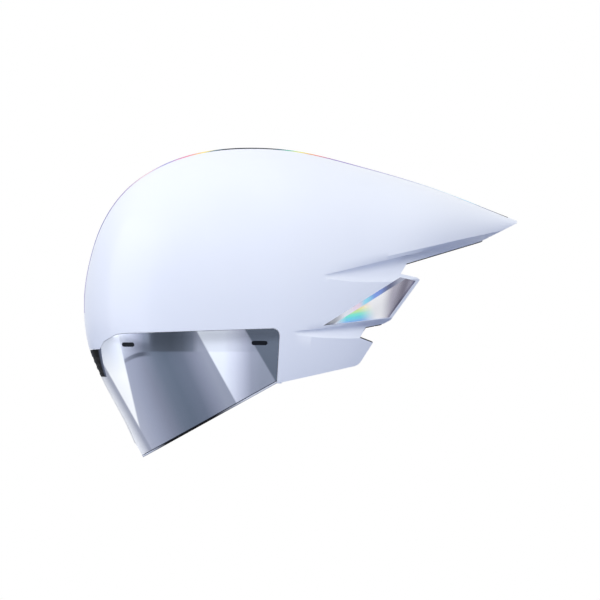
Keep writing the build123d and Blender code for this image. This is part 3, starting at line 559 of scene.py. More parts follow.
finInserts = [makeInsert("finInsertLeft", -1, "fin_insert_left"),
              makeInsert("finInsertRight", 1, "fin_insert_right")]
print("fin inserts made")

lensSet = {
    "notchHalf": 24.0,
    "notchTop": -99.4,
    "notchFoot": -180.0,      # below the lens
    "notchRound": 9.0,
    "notchSpan": (-163.0, -20.0),
    "ventTop": -8.0,
    "ventFoot": -41.0,
    "ventTopHalf": 45.0,
    "ventFootHalf": 33.0,
    "ventSpan": (-163.0, -60.0),
    "pill": (14.0, 3.8),      # a magnet's length and height
    "pillPlaces": ((-93.0, -12.5), (22.0, -11.0)),
    "pillReach": 3.0,         # the slot runs this far in and out of the skin
    "pillSteps": 12,
    "pillFace": 0.15,         # insets of the magnets' faces
    "pillBack": 2.0,
}


# Side outline of the lens: a seam below the brow line and in front of the ear, down to the lip
def lensOutline():
    corner = side["brow"][-1]
    seam = fits["seam"]
    front, foot = side["lensFoot"]
    points = shift(side["brow"][:-1], 0, -seam)
    points += [(corner[0] - seam, corner[1] - seam),
               (side["earFront"][0][0] - seam, front[1] + fits["lip"]),
               (foot[0], foot[1] + fits["lip"])]
    return rounded(points, {5: fits["cornerRound"]})


# Front outline of the nose notch: a rounded slot, open below
def notchPrism():
    half, top, foot = lensSet["notchHalf"], lensSet["notchTop"], lensSet["notchFoot"]
    corners = [(-half, foot), (half, foot), (half, top), (-half, top)]
    arcs = {2: lensSet["notchRound"], 3: lensSet["notchRound"]}
    return prism("notch", rounded(corners, arcs), "x", lensSet["notchSpan"])


# Front outline of the air intake, wider at its top, drawn in by a gap
def ventPrism(gap=0.0):
    wide, narrow = lensSet["ventTopHalf"] - gap, lensSet["ventFootHalf"] - gap
    top, foot = lensSet["ventTop"], lensSet["ventFoot"] + gap
    corners = [(-wide, top), (-narrow, foot), (narrow, foot), (wide, top)]
    return prism("ventGap", corners, "x", lensSet["ventSpan"])


# Rounded slot through the lens for one magnet: two half circles and a straight run, laid square to the skin
def pillPrism(place, flank):
    length, height = lensSet["pill"]
    reach, steps = lensSet["pillReach"], lensSet["pillSteps"]
    x, z = place
    ahead, behind = skinHalf(np.array(x + reach), np.array(z)), skinHalf(np.array(x - reach), np.array(z))
    lean = (ahead - behind) / (2 * reach)
    turn = np.concatenate([np.linspace(-90, 90, steps), np.linspace(90, 270, steps)])
    run = (length - height) / 2 * np.where(np.arange(2 * steps) < steps, 1, -1)
    along = run + height / 2 * np.cos(np.radians(turn))
    up = height / 2 * np.sin(np.radians(turn))
    scale = 1 / math.hypot(1, lean)
    y = skinHalf(np.array(x), np.array(z))
    layers = []
    for depth in (reach, -reach):
        layers.append(np.stack([
            x + along * scale - lean * scale * depth,
            flank * (y + along * lean * scale + scale * depth),
            z + up,
        ], axis=-1))
    return turnOutwards(solid("pill", np.vstack(layers) * mm, prismFaces(2 * steps)))


# The four magnets' slots, left and right at each place
def pillPrisms():
    return [pillPrism(place, flank) for place in lensSet["pillPlaces"] for flank in (-1, 1)]


# Slice of the form's wall below the brow line, with its notch, air intake and magnet slots cut out
def makeLens():
    lens = wall("visorLens", 0, fits["lensWall"], lensOutline(), "lens")
    lens = cut(lens, notchPrism(), ventPrism(), *pillPrisms())
    return finish(lens, "visor", ["visor_lens"])


# The clear edge below the lens
def makeLip():
    front, foot = side["lensFoot"]
    lip = fits["lip"]
    x = side["earFront"][0][0] - fits["seam"]
    outline = [(x, front[1] + lip), (x, front[1]), foot, (foot[0], foot[1] + lip)]
    piece = cut(wall("visorLip", 0, fits["lensWall"], outline, "edge"), notchPrism())
    return finish(piece, "visor", ["visor_lip"])


visorLens = makeLens()
visorLip = makeLip()

ventSet = {
    "gap": 0.12,
    "sink": 0.2,
    "slots": 3,
    "slotHeight": 3.2,
    "slotHalf": 27.0,
    "slotPitch": 5.6,
    "slotLow": -36.5,
    "roundSteps": 12,
    "gauze": (0.5, 1.1),      # insets of the wire gauze behind the slots
    "gauzeGap": 1.5,
}


# One slot across the intake: straight sides and round ends, wider as it goes up
def slotPrism(number):
    half = ventSet["slotHalf"] + number * ventSet["slotPitch"] / 2
    level = ventSet["slotLow"] + number * ventSet["slotPitch"]
    radius = ventSet["slotHeight"] / 2
    turn = np.radians(np.linspace(-90, 90, ventSet["roundSteps"]))
    y = np.concatenate([half - radius + radius * np.cos(turn), radius - half - radius * np.cos(turn)])
    z = level + radius * np.concatenate([np.sin(turn), -np.sin(turn)])
    return prism("slot", list(zip(y, z)), "x", lensSet["ventSpan"])


# Frame of the air intake, a slice of the form under the lens's face with its slots cut out
def makeVent():
    vent = wall("visorVent", ventSet["sink"], fits["lensWall"], lensOutline(), "edge")
    vent = cut(within(vent, ventPrism(ventSet["gap"])), *map(slotPrism, range(ventSet["slots"])))
    return finish(vent, "visor", ["visor_vent"])


# Wire gauze behind the slots
def makeGauze():
    gauze = wall("ventGauze", *ventSet["gauze"], lensOutline(), "gauze")
    return finish(within(gauze, ventPrism(ventSet["gauzeGap"])), "visor")


visorVent = makeVent()
ventGauze = makeGauze()


# The four magnets, let into the lens and shaped to its skin
def makeMagnets():
    magnets, *others = pillPrisms()
    for other in others:
        magnets = combine(magnets, other, "UNION")
    magnets = within(magnets, helmetForm("pillSkin", lensSet["pillFace"], "magnets"))
    magnets = cut(magnets, helmetForm("pillBack", lensSet["pillBack"], "core"))
    magnets.name = "visorMagnets"
    return finish(magnets, "visor", ["visor_magnets"])


visorMagnets = makeMagnets()
print("visor made")

# Materials


# Screen colour from 0 to 255, as the linear colour that a shader takes, by the curve of sRGB
def srgb(*rgb):
    value = np.array(rgb) / 255
    linear = np.where(value <= 0.04045, value / 12.92, ((value + 0.055) / 1.055) ** 2.4)
    return (*linear.tolist(), 1.0)


# Short way to place and wire nodes in a material or a group. A colour of three numbers is a screen colour
class Tree:

    def __init__(self, tree):
        self.tree = tree

    def node(self, kind, settings=None, **inputs):
        made = self.tree.nodes.new(kind)
        for name, value in (settings or {}).items():
            setattr(made, name, value)
        for name, value in inputs.items():
            self.put(made.inputs[int(name[1:]) if name[1:].isdigit() else name.replace("_", " ")], value)
        return made

    def put(self, socket, value):
        if isinstance(value, bpy.types.NodeSocket):
            self.tree.links.new(value, socket)
        elif isinstance(value, tuple) and len(value) == 3:
            socket.default_value = srgb(*value)
        else:
            socket.default_value = value

    def math(self, operation, a, b=0.0):
        return self.node("ShaderNodeMath", {"operation": operation}, i0=a, i1=b).outputs[0]

    # Product of all its values
    def times(self, value, *others):
        for other in others:
            value = self.math("MULTIPLY", value, other)
        return value

    # a + b * share
    def leaned(self, a, b, share):
        return self.math("ADD", a, self.times(b, share))

    def inverted(self, value):
        return self.math("SUBTRACT", 1.0, value)

    # The named parts of a place, in millimetres
    def millimetres(self, place, axes):
        apart = self.node("ShaderNodeSeparateXYZ", Vector=place)
        return [self.times(apart.outputs["xyz".index(axis)], 1000.0) for axis in axes]

    # a where the factor is 0, b where it is 1
    def mix(self, factor, a, b):
        made = self.node("ShaderNodeMix", {"data_type": "RGBA"})
        for number, value in ((0, factor), (6, a), (7, b)):
            self.put(made.inputs[number], value)
        return made.outputs[2]

    # Colours along a value, at shares from 0 to 1
    def ramp(self, value, stops, interpolation="EASE"):
        made = self.node("ShaderNodeValToRGB", i0=value)
        made.color_ramp.interpolation = interpolation
        elements = made.color_ramp.elements
        while len(elements) < len(stops):
            elements.new(0.5)
        for element, (share, colour) in zip(elements, stops):
            element.position = share
            element.color = srgb(*colour)
        return made.outputs[0]

    # Colours along a value, at its own places
    def gradient(self, value, stops):
        low, high = stops[0][0], stops[-1][0]
        shares = [((at - low) / (high - low), colour) for at, colour in stops]
        return self.ramp(self.scaled(value, low, high), shares, "LINEAR")

    # 0 at low, 1 at high, and straight between
    def scaled(self, value, low, high):
        return self.node("ShaderNodeMapRange", i0=value, i1=low, i2=high).outputs[0]

    def group(self, group, **inputs):
        return self.node("ShaderNodeGroup", {"node_tree": group}, **inputs)


# Node group with its sockets, and the tree and two end nodes to build it with
def newGroup(name, inputs, outputs):
    group = bpy.data.node_groups.new(name, "ShaderNodeTree")
    for label, kind, default in inputs:
        socket = group.interface.new_socket(label, in_out="INPUT", socket_type=kind)
        if default is not None:
            socket.default_value = default
    for label, kind in outputs:
        group.interface.new_socket(label, in_out="OUTPUT", socket_type=kind)
    return group, Tree(group), group.nodes.new("NodeGroupInput"), group.nodes.new("NodeGroupOutput")


# Mask that rises from 0 to 1 across a slanted line: x * SlopeX + z * SlopeZ against Edge, in millimetres
def makeSlantMask():
    group, tree, entry, leave = newGroup(
        "slantMask",
        [("Vector", "NodeSocketVector", None), ("SlopeX", "NodeSocketFloat", 1.0),
         ("SlopeZ", "NodeSocketFloat", 0.0), ("Edge", "NodeSocketFloat", 0.0),
         ("Soft", "NodeSocketFloat", 1.0)],
        [("Mask", "NodeSocketFloat")])
    x, z = tree.millimetres(entry.outputs["Vector"], "xz")
    leaned = tree.leaned(tree.times(x, entry.outputs["SlopeX"]), z, entry.outputs["SlopeZ"])
    value = tree.math("SUBTRACT", leaned, entry.outputs["Edge"])
    share = tree.math("ADD", tree.math("DIVIDE", value, tree.times(entry.outputs["Soft"], 2.0)), 0.5)
    step = tree.node("ShaderNodeMapRange", {"interpolation_type": "SMOOTHSTEP"}, i0=share)
    group.links.new(step.outputs[0], leave.inputs["Mask"])
    return group


# Fine uneven texture: one noise for the surface's height and a slower one that varies it
def makeGrain():
    group, tree, entry, leave = newGroup(
        "fineGrain",
        [("Vector", "NodeSocketVector", None), ("Scale", "NodeSocketFloat", 900.0),
         ("Patch", "NodeSocketFloat", 40.0)],
        [("Height", "NodeSocketFloat"), ("Patches", "NodeSocketFloat")])
    for label, scale, detail in (("Height", "Scale", 4.0), ("Patches", "Patch", 2.0)):
        noise = tree.node("ShaderNodeTexNoise", Vector=entry.outputs["Vector"], Scale=entry.outputs[scale],
                          Detail=detail)
        group.links.new(noise.outputs[0], leave.inputs[label])
    return group


# Plain weave on Object coordinates: two crossed waves, the higher one on top
def makeWeave():
    group, tree, entry, leave = newGroup(
        "weave",
        [("Vector", "NodeSocketVector", None), ("Scale", "NodeSocketFloat", 400.0)],
        [("Height", "NodeSocketFloat")])
    waves = []
    for direction in ("X", "Z"):
        wave = tree.node("ShaderNodeTexWave", {"bands_direction": direction}, Vector=entry.outputs["Vector"],
                         Scale=entry.outputs["Scale"])
        waves.append(wave.outputs[1])
    group.links.new(tree.math("MAXIMUM", *waves), leave.inputs["Height"])
    return group


slantMask = makeSlantMask()
fineGrain = makeGrain()
weave = makeWeave()


# A material's nodes, with its Principled shader's plain values set and its Object coordinates as place
class Surface(Tree):

    def __init__(self, name, **values):
        self.material = bpy.data.materials.new(name)
        self.material.use_nodes = True
        super().__init__(self.material.node_tree)
        self.shader = self.tree.nodes["Principled BSDF"]
        for key, value in values.items():
            self.shader.inputs[key.replace("_", " ")].default_value = value
        self.place = self.node("ShaderNodeTexCoord").outputs["Object"]

    def paint(self, colour):
        self.put(self.shader.inputs["Base Color"], colour)

    # Roughness that drifts by a spread about its middle
    def roughen(self, patches, middle, spread):
        self.put(self.shader.inputs["Roughness"], self.leaned(middle - spread / 2, patches, spread))

    def bump(self, height, strength, distance):
        made = self.node("ShaderNodeBump", Strength=strength, Distance=distance, Height=height)
        self.put(self.shader.inputs["Normal"], made.outputs[0])

    # Height and slow patches of the grain, as two outputs
    def grain(self, scale, patch):
        return self.group(fineGrain, Vector=self.place, Scale=scale, Patch=patch).outputs

    def knit(self, scale):
        return self.group(weave, Vector=self.place, Scale=scale).outputs[0]

    def mask(self, slopeX, slopeZ, edge, soft):
        return self.group(slantMask, Vector=self.place, SlopeX=slopeX, SlopeZ=slopeZ, Edge=edge,
                          Soft=soft).outputs[0]

    # Fine ruled lines across one direction
    def ruled(self, direction, scale):
        lines = self.node("ShaderNodeTexWave", {"bands_direction": direction}, Vector=self.place,
                          Scale=scale)
        self.bump(lines.outputs[1], strength=0.03, distance=0.0001)


shellFinish = {
    "white": (238, 242, 250),
    "cool": (232, 237, 248),
    "grain": 1400.0,
    "patch": 14.0,
    "roughness": (0.45, 0.1),
    "peel": (0.02, 0.0002),     # strength and depth of the orange peel
}


# Pearl white lacquer: a faint cool drift in the colour, a fine orange peel and a soft clear coat
def shellMaterial():
    tree = Surface("pearlLacquer", Roughness=0.42, Coat_Weight=0.35, Coat_Roughness=0.12,
                   Specular_IOR_Level=0.35)
    height, patches = tree.grain(shellFinish["grain"], shellFinish["patch"])
    tree.paint(tree.mix(patches, shellFinish["white"], shellFinish["cool"]))
    tree.roughen(patches, *shellFinish["roughness"])
    tree.bump(height, *shellFinish["peel"])
    return tree.material


lensFinishAndPaintedLight = {
    "low": [    # smoke with painted reflections, along x + lean * z in millimetres, below the flange's line
        (-118, (168, 173, 192)), (-106, (150, 156, 176)), (-92, (125, 131, 150)), (-80, (104, 114, 132)),
        (-70, (97, 108, 126)), (-56, (106, 115, 134)), (-44, (134, 140, 160)), (-35, (148, 154, 172)),
        (-28, (148, 154, 172)),
    ],
    "lean": 0.44,
    "high": [    # smoke with painted reflections, along x, over the flange
        (-104, (212, 217, 232)), (-95, (166, 172, 190)), (-87, (136, 141, 160)), (-79, (100, 107, 124)),
        (-70, (83, 91, 105)), (-55, (77, 85, 98)), (-45, (88, 96, 110)), (-37, (112, 120, 137)),
        (-31, (150, 156, 174)),
    ],
    "band": [    # painted reflection: a bright band along x, behind the first slanted line
        (-30, (234, 240, 252)), (-9, (228, 234, 248)), (0, (208, 213, 231)), (8, (180, 185, 205)),
        (15, (150, 156, 175)), (24, (140, 147, 165)),
    ],
    # painted dark reflection behind the second slanted line
    "corner": (94, 103, 119),
    "ledge": (100, 107, 122),
    "ledgeShare": 0.16,           # how much of the flange is painted into the bright band, as seen through the lens
    "edge": (-18.6, -9.5),        # height of the flange's edge, and its drop at the end of the bend
    "bend": (-76.0, -100.0),
    "edgeSoft": 0.7,
    # painted shadow of the flange's edge, a dark arc on the lens
    "arc": (62, 68, 82),
    "flangeShadowShare": 0.8,
    "flangeShadowHigh": (-4.6, -3.0),      # the painted shadow under the flange's edge: heights from it, then its ends
    "flangeShadowFront": (-104.0, -84.0),
    "flangeShadowBack": (-71.0, -80.0),
    # painted white reflection in front, whiter lower down
    "frontTop": (222, 228, 242),
    "front": (250, 252, 255),
    "frontFade": (-18.0, -40.0),
    # painted reflection along the front silhouette, lighter towards its very front
    "rim": (150, 155, 174),
    "rimEdge": (226, 229, 240),
    "rimLean": 0.5735,
    "rimFade": (-134.8, -142.3),
    # slanted lines: how x and z count, where it lies and how soft it is, in millimetres
    "bandLine": (1.0, 0.552, -33.1, 0.9),
    "cornerLine": (1.0, 0.589, 9.8, 1.2),
    "frontLine": (-1.0, -0.227, 102.5, 0.9),
    "rimLine": (1.0, 0.5735, -132.3, 0.9),
    "grain": (600.0, 25.0),
    "roughness": (0.14, 0.05),
}


# Smoke lens with painted reflections: bright and dark bands slant across it, a painted shadow arcs under the
# flange's edge, and the flange behind is painted in as seen through
def lensMaterial():
    hue = lensFinishAndPaintedLight
    tree = Surface("mirrorSmoke", Metallic=0.92, Roughness=0.14, Coat_Weight=0.12, Coat_Roughness=0.03)
    x, z = tree.millimetres(tree.place, "xz")

    # The flange's edge behind the lens: level at the back, curving down towards the air intake
    bend = tree.scaled(x, *hue["bend"])
    level, drop = hue["edge"]
    above = tree.math("SUBTRACT", z, tree.leaned(level, tree.times(bend, bend), drop))
    over = tree.scaled(above, -hue["edgeSoft"], hue["edgeSoft"])
    # Painted reflections over the smoke: one gradient below the flange's edge and one over it
    base = tree.mix(over, tree.gradient(tree.leaned(x, z, hue["lean"]), hue["low"]),
                    tree.gradient(x, hue["high"]))
    # Painted shadow of the flange's edge: a dark arc just under it, fading out at both ends
    arc = tree.times(tree.scaled(above, *hue["flangeShadowHigh"]), tree.inverted(over),
                     tree.scaled(x, *hue["flangeShadowFront"]), tree.scaled(x, *hue["flangeShadowBack"]), hue["flangeShadowShare"])
    base = tree.mix(arc, base, hue["arc"])
    # Painted bright reflection band, with the flange behind painted in as seen through
    band = tree.mix(tree.times(over, hue["ledgeShare"]), tree.gradient(x, hue["band"]), hue["ledge"])
    base = tree.mix(tree.mask(*hue["bandLine"]), base, band)
    # Painted dark reflection behind the second slanted line
    base = tree.mix(tree.mask(*hue["cornerLine"]), base, hue["corner"])
    # Painted white reflection between the front line and the rim, whiter lower down
    behindRim = tree.mask(*hue["rimLine"])
    front = tree.times(tree.mask(*hue["frontLine"]), behindRim)
    base = tree.mix(front, base, tree.mix(tree.scaled(z, *hue["frontFade"]), hue["frontTop"], hue["front"]))
    # Painted reflection along the front silhouette, in front of the rim line, lighter towards its very front
    fade = tree.scaled(tree.leaned(x, z, hue["rimLean"]), *hue["rimFade"])
    tree.paint(tree.mix(tree.inverted(behindRim), base, tree.mix(fade, hue["rim"], hue["rimEdge"])))
    tree.roughen(tree.grain(*hue["grain"])["Patches"], *hue["roughness"])
    return tree.material


insertFinishAndReflections = {
    "wedge": [    # rainbow low in front
        (0.00, (150, 196, 246)), (0.14, (130, 226, 246)), (0.28, (140, 244, 226)), (0.42, (206, 246, 180)),
        (0.54, (252, 240, 160)), (0.68, (252, 208, 186)), (0.84, (250, 214, 238)), (1.00, (246, 246, 252)),
    ],
    "wedgeSpan": (-11.0, 9.0),    # heights of its ends, which rise along x
    "wedgeRise": 0.18,
    "paleFront": (226, 228, 238),
    "paleSpan": (88.0, 98.0),
    # painted white reflection in the middle
    "middle": (255, 254, 255),
    "middleLine": (1.0, 0.35, 121.0, 9.0),
    "grey": [     # painted grey reflection behind
        (0.0, (236, 234, 242)), (0.35, (190, 186, 198)), (0.6, (140, 136, 150)), (0.75, (176, 172, 186)),
        (1.0, (214, 212, 222)),
    ],
    "greySpan": (116.0, 148.0),
    "greyLean": -0.35,
    "greyLine": (1.0, -0.1, 130.0, 6.0),
    "bevel": [    # painted reflections with the foil's rainbow, along the front diagonal, where the bevel runs
        (0.0, (96, 98, 104)), (0.14, (176, 178, 184)), (0.3, (240, 240, 246)), (0.45, (246, 226, 242)),
        (0.55, (160, 230, 250)), (0.68, (140, 168, 236)), (0.85, (120, 124, 150)), (1.0, (180, 182, 196)),
    ],
    "bevelSpan": (77.0, 146.0),
    "bevelLine": (-0.531, 0.847, -41.3, 0.4),
    "lines": 500.0,
}


# Prismatic foil: a rainbow wedge low in front, a painted white reflection in the middle and a painted grey
# reflection behind
def insertMaterial():
    hue = insertFinishAndReflections
    tree = Surface("prismPanel", Metallic=0.8, Roughness=0.22, Specular_IOR_Level=0.0)
    x, z = tree.millimetres(tree.place, "xz")
    rise = tree.scaled(tree.leaned(z, x, -hue["wedgeRise"]), *hue["wedgeSpan"])
    wedge = tree.mix(tree.scaled(x, *hue["paleSpan"]), hue["paleFront"], tree.ramp(rise, hue["wedge"]))
    # Painted white reflection in the middle
    base = tree.mix(tree.mask(*hue["middleLine"]), wedge, hue["middle"])
    # Painted grey reflection band behind
    grey = tree.ramp(tree.scaled(tree.leaned(x, z, hue["greyLean"]), *hue["greySpan"]), hue["grey"])
    base = tree.mix(tree.mask(*hue["greyLine"]), base, grey)
    # Painted reflections with the foil's rainbow along the bevel
    bevel = tree.ramp(tree.scaled(x, *hue["bevelSpan"]), hue["bevel"])
    tree.paint(tree.mix(tree.mask(*hue["bevelLine"]), base, bevel))
    tree.ruled("DIAGONAL", hue["lines"])
    return tree.material


stripeHues = [    # colours along the crest, from the brow to the tail
    (0.00, (206, 196, 224)), (0.06, (130, 134, 186)), (0.12, (176, 164, 200)), (0.17, (232, 206, 214)),
    (0.22, (170, 170, 220)), (0.27, (236, 140, 168)), (0.31, (250, 232, 130)), (0.335, (70, 120, 150)),
    (0.35, (24, 28, 52)), (0.47, (22, 30, 54)), (0.49, (40, 110, 130)), (0.51, (110, 210, 180)),
    (0.53, (244, 240, 110)), (0.57, (240, 130, 120)), (0.61, (150, 130, 200)), (0.74, (176, 176, 214)),
    (0.88, (190, 220, 236)), (0.915, (90, 200, 236)), (0.95, (70, 90, 140)), (1.00, (24, 26, 40)),
]
stripeFinish = {
    "span": (-132.0, 241.0),
    "sweep": 0.9,       # the bands sweep forwards by this share of the distance from the middle
    "lines": 600.0,
}


# Prismatic foil along the crest: bands of colour follow the length
def stripeMaterial():
    tree = Surface("prismStripe", Metallic=0.08, Roughness=0.35, Specular_IOR_Level=0.0)
    x, y = tree.millimetres(tree.place, "xy")
    swept = tree.leaned(x, tree.math("ABSOLUTE", y), stripeFinish["sweep"])
    tree.paint(tree.ramp(tree.scaled(swept, *stripeFinish["span"]), stripeHues))
    tree.ruled("Y", stripeFinish["lines"])
    return tree.material


plasticFinish = {
    "scale": 1500.0,
    "patch": 60.0,
    "lighter": (1.35, 0.004),    # the lighter patches: so many times the colour, and so much more
    "spread": 0.12,
    "depth": 0.0002,
}


# Moulded plastic with a fine spark-eroded grain, in patches of its colour and a lighter one
def plasticMaterial(name, colour, roughness, scale=plasticFinish["scale"], strength=0.25, **values):
    tree = Surface(name, **values)
    height, patches = tree.grain(scale, plasticFinish["patch"])
    times, more = plasticFinish["lighter"]
    lighter = tuple(min(1, channel * times + more) for channel in srgb(*colour)[:3]) + (1.0,)
    tree.paint(tree.mix(patches, colour, lighter))
    tree.roughen(patches, roughness, plasticFinish["spread"])
    tree.bump(height, strength, plasticFinish["depth"])
    return tree.material


foamFinish = {
    "beads": 330.0,
    "mottle": 0.4,
    "dark": (30, 31, 34),
    "cells": [(0.0, (26, 27, 30)), (0.12, (46, 47, 51)), (1.0, (40, 41, 45))],
}


# Expanded foam: round beads pressed together, seen as pale-edged cells
def foamMaterial():
    tree = Surface("beadFoam", Roughness=0.85, Specular_IOR_Level=0.1)
    scale = foamFinish["beads"]
    beads = tree.node("ShaderNodeTexVoronoi", Vector=tree.place, Scale=scale)
    edges = tree.node("ShaderNodeTexVoronoi", {"feature": "DISTANCE_TO_EDGE"}, Vector=tree.place,
                      Scale=scale)
    cells = tree.ramp(edges.outputs[0], foamFinish["cells"])
    tree.paint(tree.mix(tree.times(beads.outputs[0], foamFinish["mottle"]), cells, foamFinish["dark"]))
    tree.bump(edges.outputs[0], strength=0.35, distance=0.0006)
    return tree.material


# Woven or knitted goods: gaps and threads in two colours, raised by the same weave
def wovenMaterial(name, scale, gaps, threads, strength, distance, **values):
    tree = Surface(name, **values)
    threading = tree.knit(scale)
    tree.paint(tree.mix(threading, gaps, threads))
    tree.bump(threading, strength, distance)
    return tree.material


ventFinishAndGlints = {
    # painted sheen, greyer in the middle of the intake
    "middle": ((30, 34, 42), (40, 44, 54)),
    "middleSheenFade": (24.0, 12.0),    # distances from the centre line
    # black, and a painted glint along the two slanted edges
    "side": ((6, 8, 12), (120, 126, 142)),
    "edgeGlintFade": (41.0, 47.0),
    "edgeGlintLean": -0.364,
}


# Black plastic with painted glints: greyer in the middle of the intake and along its two slanted edges
def ventMaterial():
    tree = Surface("ventBlack", Roughness=0.6, Specular_IOR_Level=0.03)
    height, patches = tree.grain(plasticFinish["scale"], plasticFinish["patch"])
    y, z = tree.millimetres(tree.place, "yz")
    aside = tree.math("ABSOLUTE", y)
    # Painted glints along the two slanted edges, and a painted sheen in the middle
    leaned = tree.leaned(aside, z, ventFinishAndGlints["edgeGlintLean"])
    sides = tree.mix(tree.scaled(leaned, *ventFinishAndGlints["edgeGlintFade"]), *ventFinishAndGlints["side"])
    middle = tree.mix(patches, *ventFinishAndGlints["middle"])
    tree.paint(tree.mix(tree.scaled(aside, *ventFinishAndGlints["middleSheenFade"]), sides, middle))
    tree.bump(height, strength=0.2, distance=plasticFinish["depth"])
    return tree.material


# Ground steel with faint streaks
def steelMaterial(name, colour, streak, roughness):
    tree = Surface(name, Metallic=1.0, Roughness=roughness)
    streaks = tree.node("ShaderNodeTexNoise", Vector=tree.place, Scale=800.0, Detail=6.0)
    tree.paint(tree.mix(streaks.outputs[0], colour, streak))
    tree.bump(streaks.outputs[0], strength=0.1, distance=0.0001)
    return tree.material


lipFinish = {
    "slope": 0.557,      # rise of the lower edge along x
    "foot": -66.8,       # height of the lower edge where x is 0, in millimetres
    "clear": ((252, 253, 255), (240, 243, 250)),
    "dark": (12, 13, 18),
    "darkHigh": (2.6, 2.0),       # heights over the lower edge
    "darkFront": (-74.0, -60.0),
    "darkBack": (10.0, -16.0),
    "line": (66, 70, 84),
    "topHigh": (1.6, 2.0),
    "topFront": (-84.0, -78.0),
    "rimHigh": (1.0, 0.5),
    "rimShare": 0.6,
    "grain": (500.0, 30.0),
}


# Clear moulded edge, painted darker along its foot, most in the middle of its run, with a thin line on top
def lipMaterial():
    hue = lipFinish
    tree = Surface("clearLip", Roughness=0.3, Specular_IOR_Level=0.1)
    x, z = tree.millimetres(tree.place, "xz")
    up = tree.math("SUBTRACT", z, tree.leaned(hue["foot"], x, hue["slope"]))
    low = tree.times(tree.scaled(up, *hue["darkHigh"]), tree.scaled(x, *hue["darkFront"]),
                     tree.scaled(x, *hue["darkBack"]))
    top = tree.times(tree.scaled(up, *hue["topHigh"]), tree.scaled(x, *hue["topFront"]))
    rim = tree.times(tree.scaled(up, *hue["rimHigh"]), hue["rimShare"])
    clear = tree.mix(tree.grain(*hue["grain"])["Patches"], *hue["clear"])
    base = tree.mix(top, clear, hue["line"])
    base = tree.mix(rim, base, hue["line"])
    tree.paint(tree.mix(low, base, hue["dark"]))
    return tree.material


materials = {
    "shell": shellMaterial(),
    "lens": lensMaterial(),
    "lip": lipMaterial(),
    "insert": insertMaterial(),
    "stripe": stripeMaterial(),
    "foam": foamMaterial(),
    "floor": plasticMaterial("floorBlack", (9, 10, 13), roughness=0.55, Specular_IOR_Level=0.1),
    "vent": ventMaterial(),
    "gauze": wovenMaterial("wireGauze", scale=700.0, gaps=(6, 6, 8), threads=(38, 39, 44), strength=0.8,
                           distance=0.0004, Roughness=0.6, Specular_IOR_Level=0.03),
    "nylon": plasticMaterial("nylonBlack", (30, 31, 34), roughness=0.5, Specular_IOR_Level=0.25),
    "dial": plasticMaterial("dialGrip", (40, 41, 45), roughness=0.7, scale=900.0, strength=0.5,
                            Specular_IOR_Level=0.25),
    "buckle": plasticMaterial("acetalBlack", (22, 23, 26), roughness=0.4, Specular_IOR_Level=0.3),
    "pad": wovenMaterial("padKnit", scale=260.0, gaps=(26, 27, 30), threads=(58, 60, 66), strength=0.5,
                         distance=0.0005, Roughness=0.9, Sheen_Weight=0.25, Sheen_Roughness=0.5,
                         Specular_IOR_Level=0.2),
    "webbing": wovenMaterial("webbing", scale=420.0, gaps=(18, 19, 22), threads=(44, 46, 52), strength=0.6,
                             distance=0.0004, Roughness=0.75, Sheen_Weight=0.15),
    "magnet": plasticMaterial("magnetBlack", (8, 13, 22), roughness=0.45, Specular_IOR_Level=0.1),
    "steel": steelMaterial("groundSteel", (176, 178, 184), streak=(96, 98, 104), roughness=0.3),
}


# Gives pieces one of the materials
def dress(key, *pieces):
    for piece in pieces:
        piece.data.materials.clear()
        piece.data.materials.append(materials[key])


dress("shell", outerShell)
dress("stripe", crestStripe)
dress("insert", *finInserts)
dress("lens", visorLens)
dress("lip", visorLip)
dress("magnet", visorMagnets)
dress("vent", visorVent)
dress("gauze", ventGauze)
print("finishes made")

# Pads: soft shapes between two insets of the head space, full in the middle and drawn in at the rim
headSpace = {
    "length": 104.0,
    "width": 82.0,
    "base": 20.0,
    "height": 112.0,
    "highest": 0.9999,     # share of the height up to which a band has a width
}
padSet = {
    "hidden": 0.35,        # the face against the foam
    "shown": 5.2,          # the face towards the head, at its fullest
    "edge": 2.0,           # thickness left at the seam
    "rim": 7.0,            # the padding rises to full over this distance
    "seamThin": 0.72,      # a stitched seam draws the padding in to this share
    "seamSwell": 0.28,
    "seamWide": 6,         # the larger, the narrower a seam
    "grid": (150, 40),
}
# Each pad's length and width or angle, its lowest line, the round of its corners and its stitched seams
pads = {
    "brow": {"back": 46.5, "fit": 0.3, "arc": 96, "low": -8.7, "height": 25.4, "corner": 8.0, "seams": 3},
    "crown": {"length": 111.4, "width": 21.6, "corner": 9.0, "seams": 2},
    "side": {"length": 73.4, "low": 32.3, "height": 41.4, "run": 46.0, "corner": 12.0},
    "cradle": {"angle": 55.6, "height": 21.6, "arc": 60.0, "corner": 8.0, "rim": 5.0, "edge": 0.9,
               "rise": 1.45, "centre": 20.0, "radius": 63.65},
}


# Point of the head space at an inset: an ellipse whose radii shrink as the root of 1 - h^2 above the base,
# h being the height over the base as a share of the full height; upright walls below the base
def headPoint(around, z, inset):
    height = headSpace["height"] - inset
    share = np.clip((z - headSpace["base"]) / height, 0, headSpace["highest"])
    radius = np.sqrt(1 - share ** 2)
    x = (headSpace["length"] - inset) * radius * np.cos(around)
    y = (headSpace["width"] - inset) * radius * np.sin(around)
    return np.stack([x, y, z + 0 * around], axis=-1)


# Thickness over a grid: the edge's, and a rise by the root of 1 - (1 - d)^2, d being the distance from the
# rim as a share of the width that it rises over
def crowned(distance, edge, rise, rim):
    d = np.clip(distance / rim, 0, 1)
    return edge + rise * np.sqrt(1 - (1 - d) ** 2)


